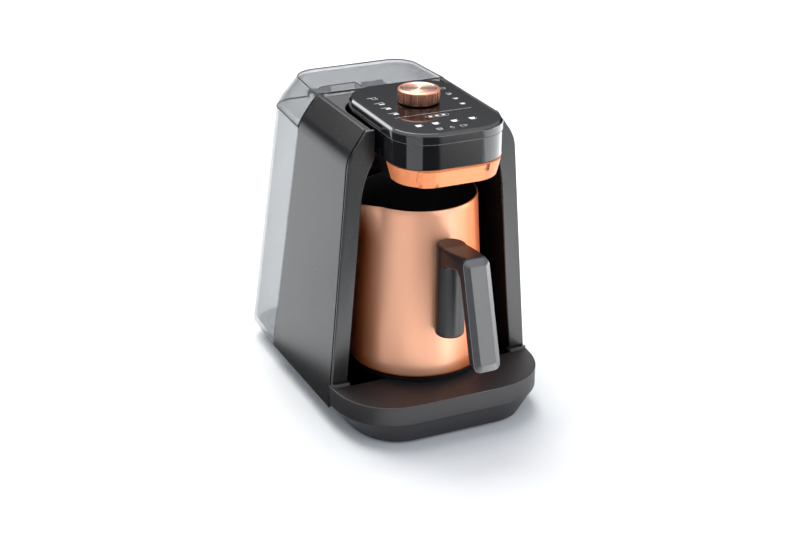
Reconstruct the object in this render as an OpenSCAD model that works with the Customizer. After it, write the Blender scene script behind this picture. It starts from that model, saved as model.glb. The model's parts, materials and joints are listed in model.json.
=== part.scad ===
// Electric Turkish coffee maker. A copper pot stands on a heater plate between two arms,
// under a brewing head with a touch panel and a knob. A clear water tank hangs behind.
// Millimetres, +Z up, front towards -Y, origin on the table below the middle of the whole.
// The brewing axis is the common upright axis of pot, heater plate and knob.

/* [Body] */
// Width across the side panels at their lower edge
body_w = 160; // [154:1:168]
// Width across the side panels at the shoulder bend
shoulder_w = 129; // [126:1:134]
// Width across the side panels at their top edges
crown_w = 102; // [99:1:108]
// Height of the side panels' lower edge above the table
hem_z = 15; // [14:0.5:16]
// Height of the shoulder bend
shoulder_z = 203; // [199:1:206]
// Height of the side panels' top edges
crown_z = 223; // [220:1:227]
// Radius of the shoulder bend
shoulder_r = 28; // [16:1:36]
// Wall of the moulded covers
wall = 2.5; // [2:0.1:3]
// Width of the lip along the panels' top edges
lip_w = 3.4; // [2.8:0.2:5]
// Distance of the arms' front face ahead of the brewing axis
arm_front = 25; // [22:1:28]
// Depth of the front frame from its face back to the side panels
frame_depth = 3; // [2.5:0.5:8]
// Depth of the frame's rim inside the side panels
rim_l = 6; // [3:0.5:9]
// Width of one arm
arm_w = 12.4; // [11:0.2:13.6]
// Height at which the arch over the bay starts to close in
arch_z = 168; // [160:1:174]
// Distance that the arms' inner line runs on before the arch turns
arch_pull = 20; // [14:1:24]
// Distance of the rear seam behind the brewing axis at the lower edge
seam_low = 89; // [86:1:94]
// Distance of the rear seam behind the brewing axis at the top edge
seam_high = 63; // [62:1:68]
// Gap along the seams between moulded covers
seam_gap = 0.3; // [0.2:0.05:0.5]

/* [Deck and base] */
// Height of the deck on which the pot stands
deck_z = 33; // [31:0.5:35]
// Height of the skirt round the deck
skirt_h = 15; // [13.5:0.5:16]
// Inset of the deck from the side panels' lower edge
deck_in = 0.8; // [0.4:0.1:1.4]
// Distance of the deck's front edge ahead of the brewing axis
deck_front = 76; // [72:1:82]
// Straight length of the deck's sides ahead of the side panels
deck_side = 0.5; // [0.3:0.1:4]
// Half width of the straight front edge of the deck
deck_flat = 30; // [24:1:36]
// Squareness of the deck's front corners
deck_power = 2.35; // [2:0.05:3]
// Height of the base pan's underside above the table
foot_gap = 2; // [1.5:0.5:3]
// Inward slope of the base pan on each side
pan_side_in = 12.5; // [9:0.5:15]
// Inward slope of the base pan at the front
pan_front_in = 6.5; // [5:0.5:10]
// Radius of a foot
foot_r = 7; // [5:0.5:8]

/* [Head] */
// Width of the head
head_w = 83.8; // [80:0.2:88]
// Distance of the head's front face ahead of the brewing axis
head_front = 67.8; // [64:0.2:72]
// Distance of the head's rear face behind the brewing axis
head_rear = 48; // [42:0.2:50]
// Corner radius of the head in plan
head_r = 27; // [16:1:30]
// Height of the touch panel's top edge
panel_z = 229.8; // [229:0.2:232]
// Height of the trim ring round the touch panel
ring_h = 7.6; // [6.4:0.2:8.4]
// Chamfer round the top of the trim ring
ring_bevel = 1.8; // [1:0.1:2.2]
// Thickness of the touch glass
glass_t = 1.3; // [1:0.1:1.8]
// Height of the copper band
band_h = 13.5; // [11:0.5:15]
// Height of the copper band's top edge
band_top = 204; // [202:0.5:206]
// Inward slope of the copper band at its foot
band_in = 4; // [2:0.5:5]
// Thickness of the copper band
band_t = 1.6; // [1.2:0.1:2]
// Distance of the copper band's ends ahead of the brewing axis
band_back = 36; // [30:1:50]
// Width of the shadow gap between head and arms
head_gap = 2.6; // [1.6:0.2:3.4]

/* [Knob] */
// Radius of the knob
knob_r = 15; // [12:0.5:18]
// Height of the knob
knob_h = 9.5; // [8:0.1:11]
// Travel of the knob when pressed
press_travel = 0.7; // [0.5:0.05:1]
// Gap left below the knob when it is pressed
knob_gap = 0.3; // [0.2:0.05:0.6]
// Number of knurls round the knob
knurls = 72; // [48:4:96]
// Radius of the encoder shaft
shaft_r = 3; // [2.5:0.1:3.4]
// Running clearance of shafts and pins in their bores
run_gap = 0.05; // [0.03:0.01:0.09]

/* [Pot] */
// Radius of the pot at its foot
pot_r = 50.2; // [46:0.2:52]
// Radius of the pot at its rim
rim_r = 43.3; // [40:0.1:45]
// Height of the pot's copper wall
pot_h = 126.4; // [112:0.2:130]
// Height of the black base under the pot
pot_base_h = 4.5; // [3.5:0.5:6]
// Wall of the pot
pot_t = 1.2; // [1:0.1:1.6]
// Distance of the spout's tip from the brewing axis
spout_reach = 54; // [50:0.5:54]
// Radius of the spout's tip
spout_r = 12; // [8:1:14]
// Depth of the spout below the rim
spout_h = 30; // [20:1:40]
// Height of the handle's top above the pot's foot
bridge_z = 109.2; // [100:0.2:111]
// Height of the bridge between pot and grip
bridge_h = 11.6; // [9:0.2:14]
// Rise of the handle's top from the mounting block to the grip
bridge_rise = 3.6; // [0:0.2:5]
// Distance of the mounting block's upright centre line from the brewing axis
block_y = 55.2; // [54:0.2:57]
// Radius of the mounting block
block_r = 10.6; // [9.6:0.1:11]
// Length of the mounting block
block_h = 69.5; // [64:0.5:76]
// Distance of the grip's front face from the brewing axis at its top
grip_top = 94.1; // [92:0.1:100]
// Slant of the grip from upright
grip_slant = 16.4; // [12:0.2:18]
// Length of the grip
grip_h = 78.5; // [68:0.5:84]
// Width of the grip
grip_w = 19.8; // [17:0.2:20.6]
// Thickness of the grip with its cover
grip_t = 10.4; // [9:0.2:12]
// Thickness of the grip's cover
cover_t = 2.6; // [2.2:0.1:3.2]
// Corner radius of the grip
grip_r = 5; // [3:0.5:7]
// Width of the flat pad on the grip
pad_w = 11.8; // [9:0.2:13]
// Distance of the pad's ends from the ends of the cover
pad_in = 5; // [3:0.5:8]

/* [Tank] */
// Depth of the tank at its foot
tank_low = 68; // [60:1:72]
// Depth of the tank at its top edge
tank_high = 65.5; // [58:0.5:68]
// Depth of the lid's flat top
lid_top_d = 59; // [54:1:62]
// Height of the seam between tank and lid
tank_top = 198.3; // [190:0.1:198.5]
// Wall of the tank
tank_t = 2.2; // [1.8:0.1:2.8]
// Narrowing of the tank towards the rear, each side
tank_tuck = 2.5; // [1:0.5:4]
// Radius of the tank's rear corners at its foot
tank_r = 22; // [16:1:26]
// Radius of the tank's rear corners at the lid
lid_r = 18; // [14:1:26]
// Gap between the tank and the body
tank_gap = 0.6; // [0.4:0.1:1]
// Distance of the outlet spigot behind the rear seam
spigot_back = 22; // [19:1:28]
// Radius of the outlet spigot
spigot_r = 8.5; // [7.5:0.5:9.5]
// Radius of the lid's hinge pins
pin_r = 1.25; // [1:0.05:1.5]

/* [Heater] */
// Radius of the heater plate
heater_r = 46.5; // [42:0.5:47]
// Thickness of the heater plate
heater_t = 5; // [4:0.5:6]
// Radius of the heating element's ring
element_r = 31; // [24:1:34]
// Radius of the element's tube
element_t = 3.3; // [2.6:0.1:4]

/* [Inner parts] */
// Radius of the pump
pump_r = 12.5; // [10:0.5:13]
// Height of the pump
pump_h = 52; // [40:1:60]
// Outer radius of the hoses
hose_r = 3; // [2.5:0.1:3.2]
// Thickness of the circuit boards
board_t = 1.6; // [1.2:0.1:2]
// Radius of the cord hole in the gland
cord_r = 3.1; // [2.6:0.1:3.2]

/* [Hidden] */

$fn = 64;
eps = 0.01;
big = 400;
seat_gap = 0.1;
slab = 0.02;

// Slopes of the sides below and above the shoulder bend
low_k = (body_w - shoulder_w) / 2 / (shoulder_z - hem_z);
high_k = (shoulder_w - crown_w) / 2 / (crown_z - shoulder_z);
low_a = atan(low_k);
high_a = atan(high_k);
bend_t = shoulder_r * tan((high_a - low_a) / 2);
bend_x = shoulder_w / 2 + bend_t * sin(low_a) - shoulder_r * cos(low_a);
bend_z = shoulder_z - bend_t * cos(low_a) - shoulder_r * sin(low_a);
bend_z0 = bend_z + shoulder_r * sin(low_a);
bend_z1 = bend_z + shoulder_r * sin(high_a);
seam_k = (seam_low - seam_high) / (crown_z - hem_z);

// Heights that follow from the sizes above
skirt_z = deck_z - skirt_h;
pan_top = hem_z - seam_gap;
band_z = band_top - band_h;
ring_z = panel_z - ring_h;
arch_top = band_top - head_gap;
slot_half = head_w / 2 + head_gap;
panel_front = -arm_front + frame_depth;
pot_z = deck_z + pot_base_h + seat_gap;
rim_z = pot_z + pot_h;
wall_y = seam_low - wall;

// The part's frame: the brewing axis stands forward of the tank and behind the grip
grip_reach = grip_top + grip_h * sin(grip_slant);
tank_reach = seam_low + tank_low;
axis_y = (grip_reach - tank_reach) / 2;

// Levels of the base, the deck and what hangs below the deck
deck_half = body_w / 2 - deck_in;
deck_turn = deck_side - panel_front;
pan_floor = foot_gap + 1.8;
shelf_z = hem_z - seat_gap;
shelf_t = 2;
plate_z = deck_z - heater_t;
bracket_z = plate_z - 2 * element_t - 3.4;
bracket_t = 1.5;
boss_z = skirt_z - 2;
screw_r = 1.5;
screws = [for (s = [-1, 1]) each [[s * (deck_half - 19.2), -31], [s * (deck_half - 21.2), 52]]];
feet_at = [for (s = [-1, 1]) each [
    [s * (deck_half - 30.2), 28 - deck_front], [s * (deck_half - 29.2), tank_reach - 35]]];
shelf_half = deck_half - 11.2;
shelf_r = 16;
post_at = [for (s = [-1, 1]) each [[s * (shelf_half - 10), seam_low + 6], [s * 20, tank_reach - 16]]];
liner_low = 56;
liner_high = 51.5;
bracket_r = 39.5;
bracket_legs = [90, 240, 300];
tongue_half = bay_half(deck_z) + 4;
sill_half = body_w / 2 - 3.6;
rim_t = 1.6;

// Levels inside the head
glass_z = panel_z - glass_t;
housing_z = ring_z - seat_gap;
board_z = ring_z;
mask_z = board_z + board_t + seat_gap;
floor_z = band_z + 0.1;
floor_t = 2;
roof_z = arch_top + 1.2;
roof_t = 2.2;
ear_z = roof_z + roof_t + seat_gap;
cover_z = crown_z - 2;

// Encoder under the knob
knob_z = panel_z + press_travel + knob_gap;
plunger_r = shaft_r + 1.2;
plunger_z = mask_z + 1.4;
shaft_z = board_z - 8;

// Tank, valve and pump
spigot_y = seam_low + spigot_back;
socket_r = spigot_r + 3.4;
hose_z = pan_floor + hose_r + 1.4;
hinge_z = tank_top + 3.6;
hinge_r = 2.4;
hinge_x = 22;
valve_lift = 2;
cage_r = spigot_r + 2.5;
cage_z = hem_z + tank_t + 15;
pump_y = seam_low - pump_r - 7.5;
pump_z = pan_floor + 0.3 + pump_r;
board_y = seam_low - 24;
power_w = 54;
power_h = 62;
power_x = -60;
power_z = deck_z + 11;
nozzle_y = 12;
delivery_z = ear_z + 5;
gland_r = cord_r + 1.2;
gland_x = -45;
gland_z = pan_floor + gland_r + 0.3;
gland_y = tank_reach - 5;
gland_l = 12;

// Handle and small things
handle_z = pot_z + bridge_z;
block_top = handle_z - bridge_rise;
block_z = block_top - block_h;
strap_z = block_z + 11.5;
strap_h = 44;
strap_w = 12;
screw_y = block_y - 2.6;
cover_pins = [18, 60];
bridge_s = (bridge_h - grip_t * sin(grip_slant)) / cos(grip_slant);
pot_turn = 2.5;
cover_half = crown_w / 2 - lip_w - 0.3;
cover_ledge = 1.9;
glass_in = ring_bevel + 0.6;
board_in = 5.4;
sleeve_in = band_in + band_t + 2.2;
pin_top = hem_z - 3;
spring_z = hem_z + tank_t + valve_lift + 1.65;
lights = [[-26.6, 18.5], [-26.6, 6], [-26.6, -5], [-26.6, -17.5], [29, 20.5], [27.4, 7.6], [27.2, -3.6],
    [26.4, -16], [-22, -47], [-9.3, -47], [4.8, -47], [18.5, -47], [-12, -56], [-3, -56], [5.8, -56]];
plate_w = 47;
plate_step = 3;

// Points along an arc from angle a0 to angle a1
function arc(cx, cy, r, a0, a1, n = 8) =
    [for (i = [0:n]) let (a = a0 + (a1 - a0) * i / n) [cx + r * cos(a), cy + r * sin(a)]];

// Rounded rectangle
function rounded(x0, x1, y0, y1, r, n = 10) = concat(
    arc(x1 - r, y0 + r, r, -90, 0, n), arc(x1 - r, y1 - r, r, 0, 90, n),
    arc(x0 + r, y1 - r, r, 90, 180, n), arc(x0 + r, y0 + r, r, 180, 270, n));

// Half width of the body at height z, round the shoulder bend
function half_at(z) = z < bend_z0 ? body_w / 2 - (z - hem_z) * low_k
    : z > bend_z1 ? shoulder_w / 2 - (z - shoulder_z) * high_k
    : bend_x + sqrt(shoulder_r * shoulder_r - (z - bend_z) * (z - bend_z));

// Distance of the slanted rear seam behind the brewing axis at height z
function seam_at(z) = seam_low - (z - hem_z) * seam_k;

// Inner edge of the arms at height z
function bay_half(z) = half_at(z) - arm_w;

// Point on a curve pulled from a to c by b
function curve(a, b, c, t) = a * (1 - t) * (1 - t) + b * 2 * t * (1 - t) + c * t * t;

// Right half of the front view of the body, from low to high
function side_line(z0, z1) = concat([[body_w / 2 - (z0 - hem_z) * low_k, z0]],
    arc(bend_x, bend_z, shoulder_r, low_a, high_a, 10),
    [[shoulder_w / 2 - (z1 - shoulder_z) * high_k, z1]]);

// Mirror image of a list of points, in the opposite order
function mirrored(pts) = [for (i = [len(pts) - 1:-1:0]) [-pts[i][0], pts[i][1]]];

function body_outline(z0, z1) = let (s = side_line(z0, z1)) concat(s, mirrored(s));

// Front view of the opening between the arms, closed over by the arch and the slot of the head
function bay_outline(z0, z1) = let (
    a = [bay_half(arch_z), arch_z],
    b = [bay_half(arch_z + arch_pull), arch_z + arch_pull],
    c = [slot_half, arch_top],
    s = concat([[bay_half(z0), z0]], [for (i = [0:8]) curve(a, b, c, i / 8)], [[slot_half, z1]]))
    concat(s, mirrored(s));

// Half of the deck's front edge, as a rounded bow with squarish corners
function deck_edge(half, front, n = 20) = [for (i = [0:n]) let (
    t = i / n,
    y = deck_turn + (front - deck_turn) * sin(90 * t),
    u = (y - deck_turn) / (front - deck_turn),
    x = deck_flat + (half - deck_flat) * pow(max(0, 1 - pow(u, deck_power)), 1 / deck_power))
    [x, -y]];

// Plan of the deck from its bowed front to a straight cut
function deck_plan(inset) = let (e = deck_edge(deck_half - inset, deck_front - inset))
    concat(e, mirrored(e), [[-deck_half + inset, panel_front], [deck_half - inset, panel_front]]);

// Plan of the base pan, drawn in at the sides and rear and at the front
function pan_plan(side_in, front_in) = let (
    e = deck_edge(deck_half - side_in, deck_front - front_in),
    r = tank_r - side_in / 3,
    cx = deck_half - tank_tuck - side_in - r,
    cy = tank_reach - 0.8 - side_in - r)
    concat(e, mirrored(e), arc(-cx, cy, r, 180, 90, 8), arc(cx, cy, r, 90, 0, 8));

// Plan of the head, drawn in by an inset
function head_plan(inset) =
    rounded(-head_w / 2 + inset, head_w / 2 - inset, -head_front + inset, head_rear - inset, head_r - inset);

// Depth of the tank and lid at height z
function tank_depth(z) = z <= tank_top
    ? tank_low + (tank_high - tank_low) * (z - hem_z) / (tank_top - hem_z)
    : tank_high + (lid_top_d - tank_high) * (z - tank_top) / (crown_z - tank_top);

// Radius of the rear corners at height z
function turn_at(z) = tank_r + (lid_r - tank_r) * (z - hem_z) / (crown_z - hem_z);

// Plan of the tank or lid at height z, drawn in by an inset
function tank_plan(z, inset) = let (
    w = half_at(z) - inset,
    r = turn_at(z) - inset,
    cx = half_at(z) - tank_tuck - turn_at(z),
    y0 = seam_at(z) + tank_gap + inset,
    cy = seam_at(z) + tank_depth(z) - turn_at(z))
    concat([[-w, y0], [w, y0]], arc(cx, cy, r, 0, 90, 8), arc(-cx, cy, r, 90, 180, 8));

// Radius of the pot's outside at height z, above the turn at its foot
function pot_at(z) = pot_r + (rim_r - pot_r) * (z - pot_z - pot_turn) / (pot_h - pot_turn);

module on_axis() translate([0, axis_y, 0]) children();

// Extrudes a front view (x, z) from y0 back to y1
module along_y(y0, y1) translate([0, y1, 0]) rotate([90, 0, 0]) linear_extrude(height = y1 - y0) children();

// Extrudes a side view (y, z) from x0 to x1
module along_x(x0, x1) translate([x0, 0, 0]) rotate([90, 0, 90]) linear_extrude(height = x1 - x0) children();

// Extrudes a plan (x, y) from z0 up to z1
module along_z(z0, z1) translate([0, 0, z0]) linear_extrude(height = z1 - z0) children();

module thin_plan(z, pts) translate([0, 0, z]) linear_extrude(height = slab) polygon(pts);

module rounded_2d(r) offset(r = r) offset(delta = -r) children();

// Route with each inner corner rounded by a curve that starts and ends a bend's length away
function bent(pts, l, n = 4) = [for (i = [0:len(pts) - 1]) each i == 0 || i == len(pts) - 1 ? [pts[i]]
    : let (
        a = pts[i] + (pts[i - 1] - pts[i]) * min(0.45, l / norm(pts[i - 1] - pts[i])),
        c = pts[i] + (pts[i + 1] - pts[i]) * min(0.45, l / norm(pts[i + 1] - pts[i])))
        [for (k = [0:n]) curve(a, pts[i], c, k / n)]];

function unit(v) = v / norm(v);

// Side direction carried along the route without twist
function sides(q, i = 0, u = [0, 0, 1]) = i == len(q) ? [] : let (
    t = i == 0 ? unit(q[1] - q[0]) : i == len(q) - 1 ? unit(q[i] - q[i - 1]) : unit(q[i + 1] - q[i - 1]),
    v = unit(u - t * (u * t)))
    concat([[v, cross(t, v)]], sides(q, i + 1, v));

// A round hose along a bent route
module hose(pts, r, l, m = 10, u = [0, 0, 1]) {
    q = bent(pts, l);
    f = sides(q, 0, u);
    n = len(q) - 1;
    rings = [for (i = [0:n], j = [0:m - 1]) let (a = 360 * j / m)
        q[i] + r * (f[i][0] * cos(a) + f[i][1] * sin(a))];
    walls = [for (i = [0:n - 1], j = [0:m - 1]) let (k = (j + 1) % m)
        [i * m + j, i * m + k, (i + 1) * m + k, (i + 1) * m + j]];
    ends = [[for (j = [0:m - 1]) m - 1 - j], [for (j = [0:m - 1]) n * m + j]];
    polyhedron(points = rings, faces = concat(walls, ends));
}

// Base: a tapered tub with bosses for the screws, posts for the shelf and recesses for the feet
module base_pan() color([0.10, 0.10, 0.11]) on_axis() difference() {
    union() {
        difference() {
            hull() {
                thin_plan(skirt_z - seam_gap - slab, pan_plan(0.8, 0.8));
                thin_plan(foot_gap, pan_plan(pan_side_in, pan_front_in));
            }
            hull() {
                thin_plan(skirt_z, pan_plan(0.8 + wall, 0.8 + wall));
                thin_plan(pan_floor, pan_plan(pan_side_in + 0.8, pan_front_in + 1.6));
            }
            translate([-big / 2, panel_front - seam_gap, pan_top]) cube(big);
        }
        for (p = screws) translate([p[0], p[1], foot_gap]) cylinder(r = 4.5, h = boss_z - foot_gap);
        for (p = post_at) translate([p[0], p[1], foot_gap]) cylinder(r = 3.5, h = shelf_z - shelf_t - foot_gap);
        for (a = bracket_legs) rotate([0, 0, a]) translate([bracket_r, 0, foot_gap])
            cylinder(r = 4, h = bracket_z - foot_gap - 0.05);
        translate([gland_x, gland_y - 2.6, gland_z]) rotate([-90, 0, 0]) cylinder(r = gland_r + 1.2, h = 2.6);
    }
    for (p = feet_at) translate([p[0], p[1], 0]) cylinder(r = foot_r + 0.1, h = foot_gap + 0.8);
    for (p = screws) translate([p[0], p[1], 0]) {
        cylinder(r = screw_r + 0.2, h = boss_z + 1);
        cylinder(r = 3.2, h = foot_gap + 2);
    }
    translate([gland_x, tank_reach - 30, gland_z]) rotate([-90, 0, 0]) cylinder(r = gland_r, h = 40);
}

// Four rubber feet in the recesses of the pan
module feet() color([0.05, 0.05, 0.05]) on_axis() for (p = feet_at) translate([p[0], p[1], 0])
    rotate_extrude() polygon([[0, 0], [foot_r - 1, 0], [foot_r, 1],
        [foot_r, foot_gap + 0.75], [0, foot_gap + 0.75]]);

// Four screws that hold the deck to the pan from below
module case_screws() color([0.7, 0.7, 0.72]) on_axis()
for (p = screws) translate([p[0], p[1], 0]) difference() {
    union() {
        translate([0, 0, foot_gap + 0.3]) cylinder(r = 3, h = 1.65);
        translate([0, 0, foot_gap + 1]) cylinder(r = screw_r, h = boss_z + 8 - foot_gap);
    }
    translate([0, 0, foot_gap]) for (a = [0, 90]) rotate([0, 0, a]) translate([-1.8, -0.35, 0]) cube([3.6, 0.7, 1.2]);
}

// Bushing for the cord in the rear wall of the pan
module cord_gland() color([0.06, 0.06, 0.06]) on_axis() translate([gland_x, gland_y, gland_z]) rotate([-90, 0, 0])
    difference() {
        union() {
            translate([0, 0, -gland_l]) cylinder(r = gland_r - 0.02, h = gland_l + 0.5);
            translate([0, 0, 0.05]) cylinder(r = gland_r + 1, h = 1.9);
        }
        translate([0, 0, -gland_l - 1]) cylinder(r = cord_r, h = gland_l + 4);
    }

// Deck: bowed plate with a skirt, a tongue under the bay, collars at the arms and bosses below
module deck() color([0.13, 0.13, 0.14]) on_axis() difference() {
    union() {
        difference() {
            along_z(skirt_z, deck_z) polygon(deck_plan(0));
            along_z(skirt_z - 1, deck_z - wall) polygon(deck_plan(wall));
            translate([-deck_half + wall, panel_front - wall - 1, skirt_z - 1])
                cube([2 * (deck_half - wall), wall + 2, skirt_h + 1 - wall]);
        }
        along_z(deck_z - wall, deck_z)
            polygon(rounded(-tongue_half, tongue_half, panel_front - 8, liner_low + 3, 14, 6));
        for (p = screws) translate([p[0], p[1], boss_z + 0.1]) cylinder(r = 4.2, h = deck_z - boss_z - 1);
        intersection() {
            along_z(deck_z - 1, deck_z + 2) polygon(deck_plan(0.5));
            for (s = [-1, 1]) translate([s > 0 ? bay_half(deck_z) - 0.6 : -deck_half, -arm_front - 3, 0])
                cube([deck_half - bay_half(deck_z) + 0.6, 2.85, big]);
        }
    }
    for (s = [-1, 1]) translate([s > 0 ? bay_half(deck_z) - 0.3 : -deck_half + wall + 0.1, -arm_front - 0.2, skirt_z])
        cube([deck_half - wall - 0.1 - bay_half(deck_z) + 0.3, frame_depth + 0.4, skirt_h + 5]);
    translate([0, 0, skirt_z]) cylinder(r = heater_r + 1, h = skirt_h + 1, $fn = 96);
    for (p = screws) translate([p[0], p[1], 0]) cylinder(r = screw_r + 0.05, h = boss_z + 11);
}

// Aluminium plate under the pot, with its edge stepped for the gasket
module heater_plate() color([0.72, 0.72, 0.73]) on_axis() rotate_extrude($fn = 96) polygon([[0, plate_z],
    [heater_r - 2, plate_z], [heater_r - 2, plate_z + 1.6], [heater_r, plate_z + 1.6], [heater_r, deck_z - 0.4],
    [heater_r - 0.4, deck_z], [0, deck_z]]);

// Silicone ring between plate and deck
module plate_gasket() color([0.08, 0.08, 0.08]) on_axis() rotate_extrude($fn = 96) polygon([
    [heater_r - 1.9, plate_z], [heater_r + 3, plate_z], [heater_r + 3, deck_z - wall - 0.05],
    [heater_r + 0.95, deck_z - wall - 0.05], [heater_r + 0.95, deck_z - 0.5], [heater_r + 0.05, deck_z - 0.5],
    [heater_r + 0.05, plate_z + 1.5], [heater_r - 1.9, plate_z + 1.5]]);

// Tubular element below the plate, an open ring with its two ends turned down
module heating_element() color([0.45, 0.42, 0.40]) on_axis() translate([0, 0, plate_z - element_t - 0.05]) {
    rotate([0, 0, -70]) rotate_extrude(angle = 320, $fn = 72) translate([element_r, 0]) circle(r = element_t, $fn = 32);
    for (a = [-70, -110]) rotate([0, 0, a]) translate([element_r, 0, 0]) {
        sphere(r = element_t, $fn = 32);
        translate([0, 0, -13]) cylinder(r = element_t - 0.6, h = 13);
        translate([0, 0, -17]) cylinder(r = 1.2, h = 5);
    }
}

// Pressed bracket that carries plate and element on three legs of the pan
module element_bracket() color([0.55, 0.55, 0.57]) on_axis() difference() {
    union() {
        translate([0, 0, bracket_z]) cylinder(r = bracket_r + 4, h = bracket_t, $fn = 96);
        for (a = bracket_legs) rotate([0, 0, a]) translate([bracket_r, 0, bracket_z])
            cylinder(r = 3, h = plate_z - bracket_z - 0.05);
    }
    for (a = [30, 150, 210, 330]) rotate([0, 0, a]) translate([24, 0, 0]) cylinder(r = 6, h = big);
    for (a = [-70, -110]) rotate([0, 0, a]) translate([element_r, 0, 0]) cylinder(r = element_t + 1, h = big);
}

// Thermostat pressed against the middle of the plate
module thermal_sensor() color([0.75, 0.73, 0.68]) on_axis() translate([0, 0, bracket_z + bracket_t + 0.05]) {
    cylinder(r = 8, h = plate_z - bracket_z - bracket_t - 1.6);
    cylinder(r = 5.5, h = plate_z - bracket_z - bracket_t - 0.15);
    for (s = [-1, 1]) translate([s * 10 - 3, -2, 0.5]) cube([6, 4, 0.8]);
}

// Front frame: two arms that lean in and arch over the bay, joined by a sill inside the base
module front_frame() color([0.20, 0.20, 0.21]) on_axis() {
    along_y(-arm_front, panel_front) frame_face();
    along_y(panel_front - eps, panel_front + rim_l) difference() {
        offset(delta = -wall - seam_gap) polygon(body_outline(deck_z - 2, crown_z));
        offset(delta = -wall - seam_gap - rim_t) polygon(body_outline(deck_z - 20, crown_z + 20));
        offset(delta = wall + rim_t + 1.5) polygon(bay_outline(deck_z - 10, crown_z + 10));
        translate([-big / 2, 0]) square([big, deck_z + 1]);
    }
    along_y(-arm_front + 0.5, panel_front - 0.5) polygon(concat(sill(sill_half, 24, sill_half - 9.4, 10),
        sill_inner()));
    for (s = [-1, 1]) along_y(-arm_front, panel_front) polygon([for (q = [[bay_half(deck_z), deck_z - 2],
        [sill_half, deck_z - 2], [sill_half, deck_z + 1], [bay_half(deck_z), deck_z + 1]]) [s * q[0], q[1]]]);
}

module frame_face() difference() {
    polygon(body_outline(deck_z + 0.1, crown_z));
    polygon(bay_outline(deck_z - 10, crown_z + 10));
}

// Half-open outlines of the sill below the deck
function sill(x1, z1, x0, z0) = [[x1, deck_z - 1], [x1, z1], [x0, z0], [-x0, z0], [-x1, z1], [-x1, deck_z - 1]];
function sill_inner() = let (x = bay_half(deck_z), z = deck_z - 4) [[-x, deck_z - 1], [-x, z],
    [8.8 - x, hem_z + 1.5], [x - 8.8, hem_z + 1.5], [x, z], [x, deck_z - 1]];

// Lining of the bay: a round-backed tub that narrows upwards, with a roof cut out for the head
module bay_liner() color([0.04, 0.04, 0.04]) on_axis() difference() {
    liner_hull(roof_t, panel_front + 0.1, 0, roof_t);
    liner_hull(0, panel_front - 2, -5, 0);
    along_z(band_top - 12, crown_z + 5) polygon(head_plan(-0.6));
}

function liner_plan(half, back, r, y0) = concat([[half, y0]], arc(half - r, back - r, r, 0, 90, 10),
    arc(-half + r, back - r, r, 90, 180, 10), [[-half, y0]]);

module liner_hull(grow, y0, drop, rise) hull() {
    thin_plan(deck_z + seat_gap + drop,
        liner_plan(bay_half(deck_z) + 1.2 + grow, liner_low + grow, 38 + grow, y0));
    for (i = [0:4]) {
        q = [curve(bay_half(arch_z), bay_half(arch_z + arch_pull), slot_half, i / 4),
            curve(arch_z, arch_z + arch_pull, arch_top + 1.2, i / 4) + rise * i / 4];
        thin_plan(q[1] - slab, liner_plan(q[0] + 1.2 + grow, liner_high - i / 3 + grow, 34 + grow, y0));
    }
}

// One side panel: lower wall, shoulder bend and lip, with upright ribs inside
module side_panel(s) on_axis() intersection() {
    union() {
        along_y(panel_front + seam_gap, seam_low) panel_skin(0, wall);
        for (y = [8, 36, 58]) along_y(y, y + 1.6) difference() {
            panel_skin(wall - 0.2, wall + 2.2);
            translate([-cover_half - 2.4, cover_z - 5]) square([2 * cover_half + 4.8, 20]);
        }
    }
    along_x(-big / 2, big / 2) polygon([[-big, hem_z], [seam_low, hem_z], [seam_high, crown_z], [-big, crown_z]]);
    translate([s > 0 ? 0 : -big, -big / 2, 0]) cube([big, big, big]);
}

module panel_skin(t0, t1) difference() {
    offset(delta = -t0) polygon(body_outline(hem_z - 10, crown_z));
    offset(delta = -t1) polygon(body_outline(hem_z - 20, crown_z));
    translate([-crown_w / 2 + lip_w, 0]) square([crown_w - 2 * lip_w, big]);
}

module side_panel_left() color([0.22, 0.22, 0.23]) side_panel(-1);

module side_panel_right() color([0.22, 0.22, 0.23]) side_panel(1);

// Rear wall between the panels, slanted like the seam, with posts for the power board
module rear_wall() color([0.10, 0.10, 0.11]) on_axis() {
    intersection() {
        along_x(-big / 2, big / 2) polygon([[wall_y, hem_z], [seam_low, hem_z],
            [seam_at(cover_z - 2.7), cover_z - 2.7], [seam_at(cover_z - 2.7) - wall, cover_z - 2.7]]);
        along_y(0, big / 2) offset(delta = -wall - seam_gap) polygon(body_outline(hem_z - 20, crown_z));
    }
    for (x = [power_x + 6, power_x + power_w - 6], z = [power_z + 8, power_z + power_h - 8])
        translate([x, board_y + board_t + 0.05, z]) rotate([-90, 0, 0])
            cylinder(r = 3, h = seam_at(z) - board_y - board_t - 1);
}

// Grey top cover between the lips of the panels, open round the head
module top_cover() color([0.30, 0.30, 0.31]) on_axis() difference() {
    along_y(panel_front + seam_gap, seam_high - 0.8) for (q = [[cover_ledge, -2.6, -0.6], [0, -0.7, 0]])
        translate([-cover_half - q[0], cover_z + q[1]]) square([2 * (cover_half + q[0]), q[2] - q[1]]);
    along_z(crown_z - 20, crown_z + 5) polygon(head_plan(-head_gap));
    translate([-slot_half, -big, crown_z - 20]) cube([2 * slot_half, big, 40]);
}

// Shelf under the tank, on posts of the pan
module tank_shelf() color([0.09, 0.09, 0.09]) on_axis() difference() {
    along_z(shelf_z - shelf_t, shelf_z) polygon(concat(
        [[-shelf_half, wall_y - 3], [shelf_half, wall_y - 3]],
        arc(shelf_half - shelf_r, tank_reach - 8 - shelf_r, shelf_r, 0, 90),
        arc(-shelf_half + shelf_r, tank_reach - 8 - shelf_r, shelf_r, 90, 180)));
    translate([0, spigot_y, 0]) cylinder(r = socket_r - 1, h = big);
}

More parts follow.
